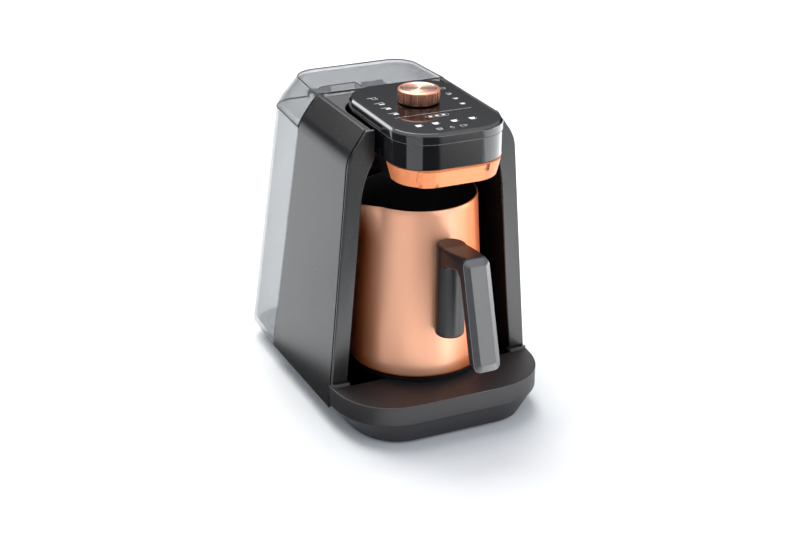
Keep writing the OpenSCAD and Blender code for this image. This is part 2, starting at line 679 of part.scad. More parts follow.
// Socket under the shelf that takes the spigot, with the pin that opens the valve
module tank_socket() color([0.12, 0.12, 0.13]) on_axis() translate([0, spigot_y, 0]) difference() {
    union() {
        translate([0, 0, pan_floor + 0.1]) cylinder(r = socket_r, h = shelf_z - shelf_t - pan_floor - 0.2);
        translate([0, 0, hose_z]) rotate([90, 0, 0]) cylinder(r = 1.7, h = socket_r + 6);
        translate([0, 0, hose_z]) rotate([90, 0, 0]) cylinder(r = 2.6, h = socket_r + 1.5);
    }
    difference() {
        translate([0, 0, pan_floor + 2]) cylinder(r = spigot_r + 1.7, h = big);
        cylinder(r = 1.6, h = pin_top);
    }
    translate([0, 0, hose_z]) rotate([90, 0, 0]) cylinder(r = 1, h = socket_r + 8);
}

// Seal between spigot and socket
module tank_seal() color([0.25, 0.12, 0.08]) on_axis() translate([0, spigot_y, shelf_z - shelf_t - 2.6]) difference() {
    cylinder(r = spigot_r + 1.65, h = 1.8);
    translate([0, 0, -1]) cylinder(r = spigot_r + run_gap, h = 4);
}

// Head housing: glossy shell with a flange for the board, a sleeve for the band and two ears
module head_housing() color([0.08, 0.08, 0.09]) on_axis() difference() {
    union() {
        along_z(band_top + seat_gap, housing_z) polygon(head_plan(0.5));
        along_z(floor_z + floor_t + seat_gap, band_top + 1) polygon(head_plan(sleeve_in));
        for (s = [-1, 1]) translate([s > 0 ? head_w / 2 - 4 : -slot_half - 2.4, -13, ear_z])
            cube([slot_half + 6.4 - head_w / 2, 50, 2]);
    }
    along_z(band_top + 2, housing_z - 2.5) polygon(head_plan(3));
    along_z(floor_z, band_top + 3) polygon(head_plan(sleeve_in + 1.6));
    along_z(housing_z - 3, housing_z + 1) polygon(head_plan(board_in + 1.6));
    translate([0, 20, delivery_z]) rotate([-90, 0, 0]) cylinder(r = hose_r + 0.4, h = 40);
}

// Trim ring round the touch glass, chamfered on top and with a ledge inside
module head_ring() color([0.16, 0.16, 0.17]) on_axis() difference() {
    hull() {
        along_z(ring_z, panel_z - ring_bevel) polygon(head_plan(0));
        thin_plan(panel_z - slab, head_plan(ring_bevel));
    }
    along_z(ring_z - 1, panel_z + 1) polygon(head_plan(board_in - 0.3));
    along_z(glass_z - seat_gap, panel_z + 1) polygon(head_plan(glass_in - 0.15));
}

// Touch glass with the hole for the encoder shaft
module touch_glass() color([0.03, 0.03, 0.03]) on_axis() difference() {
    along_z(glass_z, panel_z) polygon(head_plan(glass_in));
    translate([0, 0, glass_z - 1]) cylinder(r = shaft_r + 0.7, h = glass_t + 2);
}

// Mask under the glass with a well for each light
module light_mask() color([0.85, 0.85, 0.82]) on_axis() difference() {
    along_z(mask_z, glass_z - seat_gap) polygon(head_plan(board_in));
    translate([0, 0, mask_z - 1]) cylinder(r = plunger_r + 1.6, h = big);
    for (p = lights) translate([p[0], p[1], mask_z - 1]) cylinder(r = 2.6, h = big, $fn = 32);
}

// Board with the touch pads and lights, on the flange of the housing
module control_board() color([0.05, 0.30, 0.15]) on_axis() difference() {
    union() {
        along_z(board_z, board_z + board_t) polygon(head_plan(board_in));
        for (p = lights) translate([p[0] - 1.2, p[1] - 1.2, board_z + 1]) cube([2.4, 2.4, board_t]);
        translate([-24, 14, board_z - 3]) cube([14, 14, 3.5]);
        translate([12, -40, board_z - 5]) cube([10, 8, 5.5]);
    }
    translate([0, 0, board_z - 1]) cylinder(r = plunger_r + 0.5, h = board_t + 2);
}

// Copper band round the front of the head's foot, with a plain raised plate on it
module copper_band() color([0.72, 0.38, 0.20]) on_axis() difference() {
    intersection() {
        union() {
            foot_hull(0);
            intersection() {
                foot_hull(-0.7);
                translate([-30, -head_front - 5, band_top - 9]) cube([plate_w, 30, 8.3]);
            }
            intersection() {
                foot_hull(-0.7);
                translate([-30, -head_front - 5, band_top - 9]) cube([plate_w + plate_step, 30, 4.5]);
            }
        }
        band_zone(0);
    }
    foot_hull(band_t);
}

// Tapered foot of the head, drawn in by an inset
module foot_hull(inset) hull() {
    thin_plan(band_top - slab, head_plan(0.3 + inset));
    thin_plan(band_z, head_plan(band_in + inset));
}

module band_zone(gap) translate([-big / 2, -big, band_z - 5]) cube([big, big - band_back + gap, big]);

// Black tub behind and below the band, with holes for nozzle and sensor in its floor
module head_floor() color([0.06, 0.06, 0.06]) on_axis() difference() {
    foot_hull(0);
    difference() {
        foot_hull(-1);
        foot_hull(band_t + seat_gap / 2);
        translate([-big / 2, -band_back + seat_gap, 0]) cube([big, big, big]);
    }
    along_z(floor_z + floor_t, band_top + 1) polygon(head_plan(sleeve_in - 0.1));
    translate([0, nozzle_y, 0]) cylinder(r = 3.1, h = big);
    translate([-16, -10, 0]) cylinder(r = 5.1, h = big);
}

// Nozzle that fills the pot, with a collar on the floor and a nipple for the hose
module water_nozzle() color([0.75, 0.75, 0.76]) on_axis() translate([0, nozzle_y, 0]) rotate_extrude() polygon([
    [1.4, floor_z - 7], [2.2, floor_z - 7], [3, floor_z - 5], [3, floor_z + floor_t + 0.1],
    [6, floor_z + floor_t + 0.1], [6, floor_z + floor_t + 2], [2.4, floor_z + floor_t + 2],
    [2.4, delivery_z - 5], [1.4, delivery_z - 5]]);

// Sensor that watches the froth in the pot
module froth_sensor() color([0.10, 0.05, 0.12]) on_axis() translate([-16, -10, floor_z - 1.5]) {
    cylinder(r = 5, h = 6);
    translate([0, 0, floor_t + 1.6]) cylinder(r = 6.5, h = 5);
    sphere(r = 3, $fn = 32);
}

// Rotary encoder below the board, with the bore in which the plunger slides
module encoder_body() color([0.30, 0.30, 0.32]) on_axis() difference() {
    translate([-6.5, -6.5, shaft_z - 2.2]) cube([13, 13, board_z - shaft_z + 2.1]);
    translate([0, 0, shaft_z - 0.9]) cylinder(r = plunger_r + run_gap, h = big);
}

// Plunger that the knob presses down, with the bore in which the shaft turns
module press_plunger() color([0.80, 0.80, 0.78]) on_axis() difference() {
    translate([0, 0, shaft_z]) cylinder(r = plunger_r, h = plunger_z - shaft_z);
    translate([0, 0, shaft_z + 1]) cylinder(r = shaft_r + run_gap, h = big);
}

// Shaft with a collar above the plunger
module encoder_shaft() color([0.78, 0.78, 0.80]) on_axis() {
    translate([0, 0, shaft_z + 1.05]) cylinder(r = shaft_r, h = knob_z + 4.9 - shaft_z - 1.05);
    translate([0, 0, plunger_z + 0.05]) cylinder(r = plunger_r, h = 1.2);
}

// Knob: knurled upper band, smooth lower part, hub below and a recess for the disc on top
module knob() color([0.78, 0.42, 0.24]) on_axis() difference() {
    union() {
        translate([0, 0, knob_z]) cylinder(r = knob_r - 0.5, h = 1.2, $fn = 96);
        along_z(knob_z + 1.2, knob_z + knob_h - 1.2) polygon(gear(knob_r, 0.35));
        translate([0, 0, knob_z + knob_h - 1.2]) rotate_extrude($fn = 96) polygon(concat([[0, 0]],
            arc(knob_r - 1, 0, 0.9, 0, 90, 4), [[0, 0.9]]));
    }
    translate([0, 0, knob_z + knob_h - 1]) cylinder(r = knob_r - 1.9, h = 2, $fn = 96);
    difference() {
        translate([0, 0, knob_z - 1]) cylinder(r = knob_r - 2.5, h = knob_h - 3.6, $fn = 96);
        translate([0, 0, knob_z - 1]) cylinder(r = shaft_r + 2.5, h = knob_h);
    }
    translate([0, 0, knob_z - 1]) cylinder(r = shaft_r + 0.02, h = 6);
}

function gear(r, d) = [for (i = [0:2 * knurls - 1]) let (a = 180 * i / knurls, q = i % 2 == 0 ? r : r - d)
    [q * cos(a), q * sin(a)]];

// Spun disc in the top of the knob, slightly dished
module knob_disc() color([0.85, 0.55, 0.38]) on_axis() translate([0, 0, knob_z + knob_h - 1 + 0.02])
    rotate_extrude($fn = 96) polygon(concat([[0, 0], [knob_r - 1.95, 0], [knob_r - 1.95, 0.8]],
        [for (i = [1:8]) let (t = i / 8) [(knob_r - 2.4) * (1 - t), 0.8 - 0.35 * sin(90 * t)]]));

// Pump lying across the base: motor, head and two nipples
module pump() color([0.35, 0.35, 0.37]) on_axis() translate([0, pump_y, pump_z]) rotate([0, 90, 0]) {
    translate([0, 0, -pump_h / 2 - 8]) cylinder(r = pump_r - 1, h = pump_h * 0.6);
    translate([0, 0, pump_h * 0.1 - 8]) cylinder(r = pump_r, h = pump_h * 0.4);
    translate([0, 0, -pump_h / 2 - 10]) cylinder(r = 4, h = 3);
    for (s = [-1, 1]) translate([s * 5.5, 0, pump_h / 2 - 9]) difference() {
        cylinder(r = 1.7, h = 9);
        translate([0, 0, 2]) cylinder(r = 1, h = 8);
    }
}

// Rubber cradle of the pump
module pump_foot() color([0.06, 0.06, 0.06]) on_axis() difference() {
    for (x = [-28, 4]) translate([x, pump_y - 9, pan_floor + 0.05]) cube([7, 18, 8]);
    translate([-40, pump_y, pump_z]) rotate([0, 90, 0]) cylinder(r = pump_r + 0.1, h = 80);
}

// Hose from the socket to the pump
module suction_hose() color([0.80, 0.80, 0.78]) on_axis() difference() {
    hose([[0, spigot_y - socket_r - 1.7, hose_z], [0, 86, hose_z], [26, 85, hose_z + 0.5],
        [38, pump_y, pump_z - 5.5], [pump_h / 2 - 6.9, pump_y, pump_z - 5.5]], hose_r, 9);
    translate([0, spigot_y, hose_z]) rotate([90, 0, 0]) cylinder(r = 1.75, h = socket_r + 7);
    translate([0, pump_y, pump_z - 5.5]) rotate([0, 90, 0]) cylinder(r = 1.75, h = pump_h / 2 + 1);
}

// Hose from the pump up behind the bay and into the head
module delivery_hose() color([0.80, 0.80, 0.78]) on_axis() difference() {
    hose([[pump_h / 2 - 6.9, pump_y, pump_z + 5.5], [50, pump_y, pump_z + 5.5],
        [48, liner_low + hose_r + 9, 2 * deck_z + 4], [30, liner_high + hose_r + 3.1, band_top - 8],
        [14, liner_high + hose_r + 2.5, delivery_z], [0, liner_high + 0.5, delivery_z],
        [0, nozzle_y, delivery_z], [0, nozzle_y, floor_z + floor_t + 2.1]], hose_r, 9, 10, [0, 1, 0]);
    translate([0, nozzle_y, 0]) cylinder(r = 2.45, h = delivery_z - 4.9);
    translate([0, pump_y, pump_z + 5.5]) rotate([0, 90, 0]) cylinder(r = 1.75, h = pump_h / 2 + 1);
}

// Power board upright behind the bay, with its parts
module power_board() color([0.10, 0.32, 0.16]) on_axis() {
    translate([power_x, board_y, power_z]) cube([power_w, board_t, power_h]);
    translate([power_x + 8, board_y - 4.4, power_z + 16]) cube([18, 5, 16]);
    translate([power_x + 32, board_y - 4.4, power_z + 28]) cube([12, 5, 22]);
    translate([power_x + 16, board_y + 1, power_z + 18]) cube([20, 9, 24]);
    translate([power_x + 42, board_y + 1, power_z + 26]) rotate([-90, 0, 0]) cylinder(r = 4, h = 8.5);
}

// Copper pot: leaning wall, rounded foot and a spout drawn out of the rim
module pot_body() color([0.80, 0.50, 0.36]) on_axis() difference() {
    union() {
        rotate_extrude($fn = 96) polygon(concat([[0, pot_z]],
            arc(pot_r - pot_turn, pot_z + pot_turn, pot_turn, -90, 0, 5), [[rim_r, rim_z], [0, rim_z]]));
        spout(0);
    }
    rotate_extrude($fn = 96) polygon(concat([[0, pot_z + pot_t + 0.4]],
        arc(pot_r - pot_t - 3, pot_z + pot_t + 3.4, 3, -90, 0, 5), [[rim_r - pot_t, rim_z + 0.1], [0, rim_z + 0.1]]));
    spout(pot_t);
}

function spout_plan(e) = let (x = -spout_reach + spout_r / 2, y = 7.6, r = spout_r / 2 - e) concat(
    [[-30, 22 - e], [-36.6, 22 - e]], arc(x, y, r, 120, 180, 5), arc(x, -y, r, 180, 240, 5),
    [[-36.6, -22 + e], [-30, -22 + e]]);

module spout(e, r = 6.5) hull() {
    thin_plan(rim_z - slab + (e > 0 ? 0.2 : 0), spout_plan(e));
    translate([r + 0.25 - pot_at(rim_z - spout_h), 0, rim_z - spout_h + e]) scale([1, 2.4, 1])
        cylinder(r = r - e, h = slab, $fn = 32);
}

// Black base disc under the pot
module pot_base() color([0.05, 0.05, 0.05]) on_axis() rotate_extrude($fn = 96) polygon([
    [0, deck_z + seat_gap], [pot_r - 3, deck_z + seat_gap], [pot_r - 2, deck_z + seat_gap + 1],
    [pot_r - 1.6, pot_z - 0.05], [0, pot_z - 0.05]]);

// Steel strap on the pot that carries the handle
module handle_bracket() color([0.62, 0.62, 0.63]) on_axis() difference() {
    along_x(-strap_w / 2, strap_w / 2) polygon(strap(0));
    pot_cone(0.05);
    translate([0, -screw_y, strap_z - 1]) cylinder(r = screw_r + 0.02, h = 14);
}

// Side view of the strap: a thick foot for the screw and a thinner plate above it
function strap(t) = let (
    foot = -screw_y - 2.8 - t,
    low = [-pot_at(strap_z + 14) - 3 - t, strap_z + 14 + t],
    high = [-pot_at(strap_z + strap_h) - 3 - t, strap_z + strap_h + t])
    [[-35, strap_z - t], [foot, strap_z - t], [foot, strap_z + 10 + t], low, high, [-35, high[1]]];

module pot_cone(t) translate([0, 0, pot_z - 20]) cylinder(r1 = pot_at(pot_z - 20) + t,
    r2 = pot_at(rim_z + 20) + t, h = pot_h + 40, $fn = 96);

// Handle: round mounting block against the pot, rising bridge and the core of the grip
module handle_core() color([0.07, 0.07, 0.07]) on_axis() difference() {
    union() {
        translate([0, -block_y, 0]) rotate_extrude() polygon([[0, block_z], [block_r - 1.5, block_z],
            [block_r, block_z + 1.5], [block_r, block_top - 1], [block_r - 1, block_top], [0, block_top]]);
        intersection() {
            along_x(-grip_w / 2, grip_w / 2) rounded_2d(1.2) polygon([[-block_y + 4, block_top - 0.3],
                [-block_y - 4, block_top - 0.3], [-grip_top + cover_t, handle_z], grip_at(0, cover_t),
                grip_at(grip_h, cover_t), grip_at(grip_h, grip_t), grip_at(bridge_s + 4, grip_t),
                grip_at(bridge_s, grip_t) + [4, 0], [-block_y - 11, block_top - bridge_h],
                [-block_y - 8, block_top - bridge_h - 3], [-block_y + 4, block_top - bridge_h - 3]]);
            along_y(-big / 2, 0) grip_face();
        }
    }
    pot_cone(0.1);
    along_x(-strap_w / 2 - 0.15, strap_w / 2 + 0.15) polygon(strap(0.15));
    translate([0, -screw_y, block_z]) cylinder(r = screw_r + 0.2, h = 14);
    translate([0, -screw_y, block_z - 1]) cylinder(r = 3.1, h = 9.2);
    for (z = cover_pins) translate([0, grip_at(z, 0)[0], grip_at(z, 0)[1]]) rotate([-90 - grip_slant, 0, 0])
        cylinder(r = 1.6, h = cover_t + 5);
}

// Front view of the grip, from the cover's foot to the top of the handle
module grip_face() rounded_2d(grip_r) translate([-grip_w / 2, grip_at(grip_h, 0)[1]])
    square([grip_w, handle_z - grip_at(grip_h, 0)[1]]);

// Point on the grip, s down its length and t back from its front face
function grip_at(s, t) = [-grip_top - s * sin(grip_slant) + t * cos(grip_slant),
    handle_z - s * cos(grip_slant) - t * sin(grip_slant)];

// Screw that draws the handle up on to the strap
module handle_screw() color([0.70, 0.70, 0.72]) on_axis() translate([0, -screw_y, 0]) difference() {
    union() {
        translate([0, 0, block_z + 6]) cylinder(r = 2.9, h = 2.1);
        translate([0, 0, block_z + 7]) cylinder(r = screw_r, h = 14);
    }
    translate([0, 0, block_z + 5]) cylinder(r = 1.4, h = 2.2, $fn = 6);
}

// Cover of the grip: flat pad with wide chamfers all round, on two pins
module grip_cover() color([0.24, 0.24, 0.25]) on_axis() {
    translate([0, -grip_top, handle_z]) rotate([-grip_slant, 0, 0]) hull() {
        for (q = [[cover_t - 0.6, 0, 0, grip_r], [0, (grip_w - pad_w) / 2, pad_in, 1.5]])
            along_y(q[0], q[0] + (q[1] > 0 ? slab : 0.55)) polygon(rounded(-grip_w / 2 + q[1], grip_w / 2 - q[1],
                -grip_h + q[2], -q[2], q[3], 5));
    }
    for (z = cover_pins) translate([0, grip_at(z, 1)[0], grip_at(z, 1)[1]]) rotate([-90 - grip_slant, 0, 0])
        cylinder(r = 1.55, h = cover_t + 3);
}

// Tank: clear tub with a spigot below and two hinge knuckles behind
module tank() color([0.55, 0.58, 0.60, 0.35]) on_axis() difference() {
    union() {
        difference() {
            tank_hull(0, hem_z, tank_top);
            tank_hull(tank_t, hem_z + tank_t, tank_top + 1);
        }
        translate([0, spigot_y, hem_z - 5.6]) cylinder(r = spigot_r, h = 7);
        for (s = [-1, 1]) knuckles(s, 4);
    }
    translate([0, spigot_y, hem_z]) cylinder(r = spigot_r - 3, h = 5);
    translate([0, spigot_y, hem_z - 7]) cylinder(r = spigot_r - 1.6, h = 7.5);
    for (s = [-1, 1]) hinge_bore(s, pin_r + 0.02);
}

module tank_hull(t, z0, z1) hull() {
    thin_plan(z0, tank_plan(z0, t));
    thin_plan(bend_z0, tank_plan(bend_z0, t));
    thin_plan(z1 - slab, tank_plan(z1, t));
}

function hinge_y() = seam_at(hinge_z) + tank_depth(hinge_z) + 0.4;

// Outer knuckles of one hinge, standing on the rear wall of the tank
module knuckles(s, l) for (d = [-1, 1]) translate([s * hinge_x + d * 6 - l / 2, 0, 0]) {
    translate([0, hinge_y(), hinge_z]) rotate([0, 90, 0]) cylinder(r = hinge_r, h = l);
    along_x(0, l) polygon([[hinge_y() - 2, tank_top - 3], [hinge_y() - 2, hinge_z], [hinge_y() + hinge_r, hinge_z],
        [hinge_y() + hinge_r, tank_top - 3], [hinge_y() - 1, tank_top - 10]]);
}

module hinge_bore(s, r) translate([s * hinge_x - 9, hinge_y(), hinge_z]) rotate([0, 90, 0]) cylinder(r = r, h = 18);

// Lid: clear cap that carries on the shoulder bend, with the wall of a pocket inside
module tank_lid() color([0.35, 0.36, 0.38, 0.45]) on_axis() difference() {
    union() {
        difference() {
            lid_hull(0, crown_z);
            lid_hull(tank_t, crown_z - tank_t);
        }
        intersection() {
            along_z(206, crown_z - tank_t + 0.1) difference() {
                polygon(pocket(0));
                polygon(pocket(1.4));
            }
            lid_hull(tank_t - 0.5, crown_z);
        }
        for (s = [-1, 1]) translate([s * hinge_x - 3.8, hinge_y(), hinge_z]) rotate([0, 90, 0])
            cylinder(r = hinge_r, h = 7.6);
    }
    for (s = [-1, 1], d = [-1, 1]) translate([s * hinge_x + d * 6 - 2.2, hinge_y() - hinge_r - 0.3, tank_top])
        cube([4.4, 10, hinge_z + hinge_r + 0.3 - tank_top]);
    for (s = [-1, 1]) hinge_bore(s, pin_r + run_gap);
}

function pocket(t) = concat([[-10 - t, 66 + t], [-10 - t, 86 - t]], arc(-32, 72, 14 - t, 90, 180, 8), [[-46 + t, 66 + t]]);

module lid_hull(t, z1) hull() {
    for (z = [tank_top + seam_gap + (t > 0 ? -1 : 0), 201.5, 205, 208.5, bend_z1, z1 - slab])
        thin_plan(z, tank_plan(max(z, tank_top), t));
}

// Dark catch under the front edge of the lid
module lid_catch() color([0.05, 0.05, 0.05]) on_axis() translate([-6.3, 69, crown_z - tank_t - 4.1]) {
    cube([15.7, 8, 4]);
    translate([2, 0.5, -6]) cube([11, 1.8, 7]);
}

// Two hinge pins
module lid_pins() color([0.70, 0.70, 0.72]) on_axis() for (s = [-1, 1])
    translate([s * hinge_x - 8, hinge_y(), hinge_z]) rotate([0, 90, 0]) cylinder(r = pin_r, h = 16);

// Filter cage over the outlet of the tank
module inlet_filter() color([0.85, 0.85, 0.83]) on_axis() translate([0, spigot_y, hem_z + tank_t + 0.05]) difference() {
    cylinder(r = cage_r, h = cage_z - hem_z - tank_t);
    translate([0, 0, -1]) cylinder(r = cage_r - 1.4, h = cage_z - hem_z - tank_t - 0.5);
    for (a = [0:30:330]) rotate([0, 0, a]) translate([cage_r - 4, -1.2, 2]) cube([8, 2.4, cage_z - hem_z - tank_t - 5]);
}

// Valve poppet, lifted off its seat by the pin of the socket
module valve_poppet() color([0.20, 0.20, 0.22]) on_axis() translate([0, spigot_y, 0]) {
    translate([0, 0, hem_z + tank_t + valve_lift]) cylinder(r = spigot_r - 1.6, h = 1.6);
    translate([0, 0, pin_top + 0.05]) cylinder(r = 1.6, h = hem_z + tank_t + valve_lift - pin_top);
}

// Coil spring between poppet and cage
module valve_spring() color([0.72, 0.72, 0.74]) on_axis() translate([0, spigot_y, spring_z])
    coil(4.4, 0.45, cage_z - 1.5 - spring_z, 4);

module coil(r, w, h, turns) {
    n = 16 * turns;
    m = 6;
    pts = [for (i = [0:n], j = [0:m - 1]) let (a = 360 * turns * i / n, b = 360 * j / m, q = r + w * cos(b))
        [q * cos(a), q * sin(a), w + (h - 2 * w) * i / n + w * sin(b)]];
    walls = [for (i = [0:n - 1], j = [0:m - 1]) let (k = (j + 1) % m)
        [i * m + j, i * m + k, (i + 1) * m + k, (i + 1) * m + j]];
    ends = [[for (j = [0:m - 1]) m - 1 - j], [for (j = [0:m - 1]) n * m + j]];
    polyhedron(points = pts, faces = concat(walls, ends));
}

base_pan();
feet();
case_screws();
cord_gland();
deck();
heater_plate();
plate_gasket();
heating_element();
element_bracket();
thermal_sensor();
front_frame();
bay_liner();
side_panel_left();
side_panel_right();
rear_wall();
top_cover();
tank_shelf();
tank_socket();
tank_seal();
head_housing();
head_ring();
touch_glass();
light_mask();
control_board();
copper_band();
head_floor();
water_nozzle();
froth_sensor();
encoder_body();
press_plunger();
encoder_shaft();
knob();
knob_disc();
pump();
pump_foot();
suction_hose();
delivery_hose();
power_board();
pot_body();
pot_base();
handle_bracket();
handle_core();
handle_screw();
grip_cover();
tank();
tank_lid();
lid_catch();
lid_pins();
inlet_filter();
valve_poppet();
valve_spring();
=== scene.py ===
# %% [markdown]
# A Turkish coffee maker, dressed for a studio picture. The construction model comes in as a
# fixed frame: every piece has its place and size already. What follows gives each piece the
# edges, the surface and the colour of the real one, and adds what is too fine for the
# construction model, such as the printed icons. Lengths are in metres, the front is towards -Y.

# %% Load the frame
import bpy, bmesh, json, math
from mathutils import Matrix, Vector


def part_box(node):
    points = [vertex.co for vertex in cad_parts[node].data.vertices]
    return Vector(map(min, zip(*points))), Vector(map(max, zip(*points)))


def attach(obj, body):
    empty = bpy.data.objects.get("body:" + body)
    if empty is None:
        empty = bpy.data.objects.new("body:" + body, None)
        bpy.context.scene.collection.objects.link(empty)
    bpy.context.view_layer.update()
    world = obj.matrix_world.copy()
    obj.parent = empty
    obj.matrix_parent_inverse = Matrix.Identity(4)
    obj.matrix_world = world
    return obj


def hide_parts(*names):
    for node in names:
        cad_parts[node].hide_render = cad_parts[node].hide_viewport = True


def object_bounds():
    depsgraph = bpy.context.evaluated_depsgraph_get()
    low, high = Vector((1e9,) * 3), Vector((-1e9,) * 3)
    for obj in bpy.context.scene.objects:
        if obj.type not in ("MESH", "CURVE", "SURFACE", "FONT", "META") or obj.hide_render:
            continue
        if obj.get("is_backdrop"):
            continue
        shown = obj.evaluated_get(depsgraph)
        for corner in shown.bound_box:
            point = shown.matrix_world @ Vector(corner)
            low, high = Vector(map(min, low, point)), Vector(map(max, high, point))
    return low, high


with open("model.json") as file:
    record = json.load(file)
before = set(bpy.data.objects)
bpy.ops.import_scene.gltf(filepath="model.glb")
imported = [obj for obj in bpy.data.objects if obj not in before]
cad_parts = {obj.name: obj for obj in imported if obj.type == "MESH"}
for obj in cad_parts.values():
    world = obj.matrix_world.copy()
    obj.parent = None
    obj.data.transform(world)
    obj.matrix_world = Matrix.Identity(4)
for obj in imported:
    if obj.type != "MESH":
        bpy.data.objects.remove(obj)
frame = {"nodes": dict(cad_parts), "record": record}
cad_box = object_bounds()
nodes = frame["nodes"]
slots = {s["node"]: s["material_slot"] for s in frame["record"]["subparts"]}
knob_low, knob_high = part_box("knob")
axis_y = (knob_low.y + knob_high.y) / 2
print("pieces", len(nodes), "brewing axis at y", round(axis_y, 4))

# %% [markdown]
# The camera looks down on the machine from the front left, from about a metre and a quarter
# away, with a lens that is long enough to keep the upright edges nearly parallel. Its turn is
# built from three unit vectors, because a small roll is easier to state that way than as angles.

# %% Camera
azimuth, elevation, roll = math.radians(-25.23), math.radians(23.83), math.radians(0.51)
back = Vector((math.sin(azimuth) * math.cos(elevation), -math.cos(azimuth) * math.cos(elevation),
    math.sin(elevation)))
level = Vector((math.cos(azimuth), math.sin(azimuth), 0))
above = back.cross(level)
right = math.cos(roll) * level + math.sin(roll) * above
up = back.cross(right)
stand = Vector((-0.48812, -1.00765 + axis_y, 0.59779))

lens = bpy.data.cameras.new("camera")
lens.lens, lens.sensor_width = 75.25, 36
lens.clip_start, lens.clip_end = 0.05, 20
camera = bpy.data.objects.new("camera", lens)
bpy.context.scene.collection.objects.link(camera)
turn = Matrix((right, up, back)).transposed().to_4x4()
camera.matrix_world = Matrix.Translation(stand) @ turn
bpy.context.scene.camera = camera
print("camera stands", round(camera.location.length, 3), "m off")

# %% [markdown]
# The studio is a white floor under a dark horizon, with a pale ceiling and a few large soft
# lights. The camera sees the world as plain white, and matt surfaces are lit by an even, slightly
# blue dome. Gloss mirrors a gradient by height instead: a shoulder that mirrors the horizon turns
# dark, the walls below it mirror the floor and stay grey, and level tops mirror the pale ceiling.
# That contrast shows the form.

# %% World
scene = bpy.context.scene
scene.view_settings.view_transform = "Standard"
scene.view_settings.look = "None"
world = bpy.data.worlds.new("studio")
scene.world = world
world.use_nodes = True
wn, wl = world.node_tree.nodes, world.node_tree.links
wn.clear()
seen, dome, mirrored = (wn.new("ShaderNodeBackground") for _ in range(3))
seen.inputs["Color"].default_value = (1, 1, 1, 1)
dome.inputs["Color"].default_value = (0.43, 0.485, 0.56, 1)
heading, split = wn.new("ShaderNodeTexCoord"), wn.new("ShaderNodeSeparateXYZ")
by_height = wn.new("ShaderNodeValToRGB")
stops = by_height.color_ramp.elements
stops[0].position, stops[0].color = 0.25, (0.012, 0.012, 0.013, 1)
stops[1].position, stops[1].color = 0.42, (0.72, 0.73, 0.76, 1)
stops.new(0.8).color = (1.4, 1.4, 1.43, 1)
wl.new(heading.outputs["Generated"], split.inputs[0])
wl.new(split.outputs["Z"], by_height.inputs[0])
wl.new(by_height.outputs["Color"], mirrored.inputs["Color"])
path, out = wn.new("ShaderNodeLightPath"), wn.new("ShaderNodeOutputWorld")
by_gloss, by_camera = wn.new("ShaderNodeMixShader"), wn.new("ShaderNodeMixShader")
wl.new(path.outputs["Is Glossy Ray"], by_gloss.inputs["Fac"])
wl.new(dome.outputs[0], by_gloss.inputs[1])
wl.new(mirrored.outputs[0], by_gloss.inputs[2])
wl.new(path.outputs["Is Camera Ray"], by_camera.inputs["Fac"])
wl.new(by_gloss.outputs[0], by_camera.inputs[1])
wl.new(seen.outputs[0], by_camera.inputs[2])
wl.new(by_camera.outputs[0], out.inputs["Surface"])
print("world nodes", len(wn))

# %% [markdown]
# The overhead light gives the soft shadow round the foot. Of the two behind, the left one draws
# the bright line along the panel's bevel and the top one lights the disc on the knob. The others
# stand in front and on the right, and fill the pot, the handle and the skirt. All of them are
# large rectangles, because a small lamp would leave a hard shadow and a small, harsh highlight.

# %% Lights


def softbox(name, place, aim, width, height, power, tint=(1, 1, 1)):
    """A rectangular light at place that faces aim."""
    light = bpy.data.lights.new(name, "AREA")
    light.shape, light.size, light.size_y = "RECTANGLE", width, height
    light.energy, light.color = power, tint
    lamp = bpy.data.objects.new(name, light)
    scene.collection.objects.link(lamp)
    lamp.location = place
    lamp.rotation_euler = (Vector(aim) - Vector(place)).to_track_quat("-Z", "Y").to_euler()


softbox("overhead", (-0.05, 0.62, 1.55), (0, 0.0, 0), 1.2, 1.2, 33, (1, 0.985, 0.95))
softbox("back_left", (-0.66, 1.30, 0.90), (0, 0, 0.2), 0.8, 0.34, 3.2)
softbox("back_top", (0.38, 0.82, 1.45), (0, 0, 0.2), 0.5, 0.4, 2.5)
softbox("front_right", (0.53, -1.33, 0.27), (0, -0.05, 0.15), 0.55, 0.40, 2.9)
softbox("right", (1.15, -0.40, 0.17), (0, -0.12, 0.1), 0.45, 0.3, 3.5)
softbox("front_top", (0.35, -1.15, 0.95), (0, -0.06, 0.1), 0.8, 0.5, 1.8)
softbox("front_left", (-0.95, -1.05, 0.85), (0, -0.02, 0.1), 0.4, 0.6, 1.5)

# %% [markdown]
# Gloss shows what lies round it, so a studio puts things there to be mirrored. Black cloths lie
# on the floor in front and on the left, and bright cards on the right and under the skirt, with
# one narrow strip that is brighter still. Each is a single flat face, and they lie a millimetre
# above one another. Only reflections show them: the camera looks straight through.

# %% Floor, cloths and cards


def sheet_of(name, corners, z):
    """A flat four-cornered piece of the studio at height z."""
    bm = bmesh.new()
    bm.faces.new([bm.verts.new((x, y, z)) for x, y in corners])
    mesh = bpy.data.meshes.new(name)
    bm.to_mesh(mesh)
    bm.free()
    piece = bpy.data.objects.new(name, mesh)
    scene.collection.objects.link(piece)
    piece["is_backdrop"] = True
    return piece


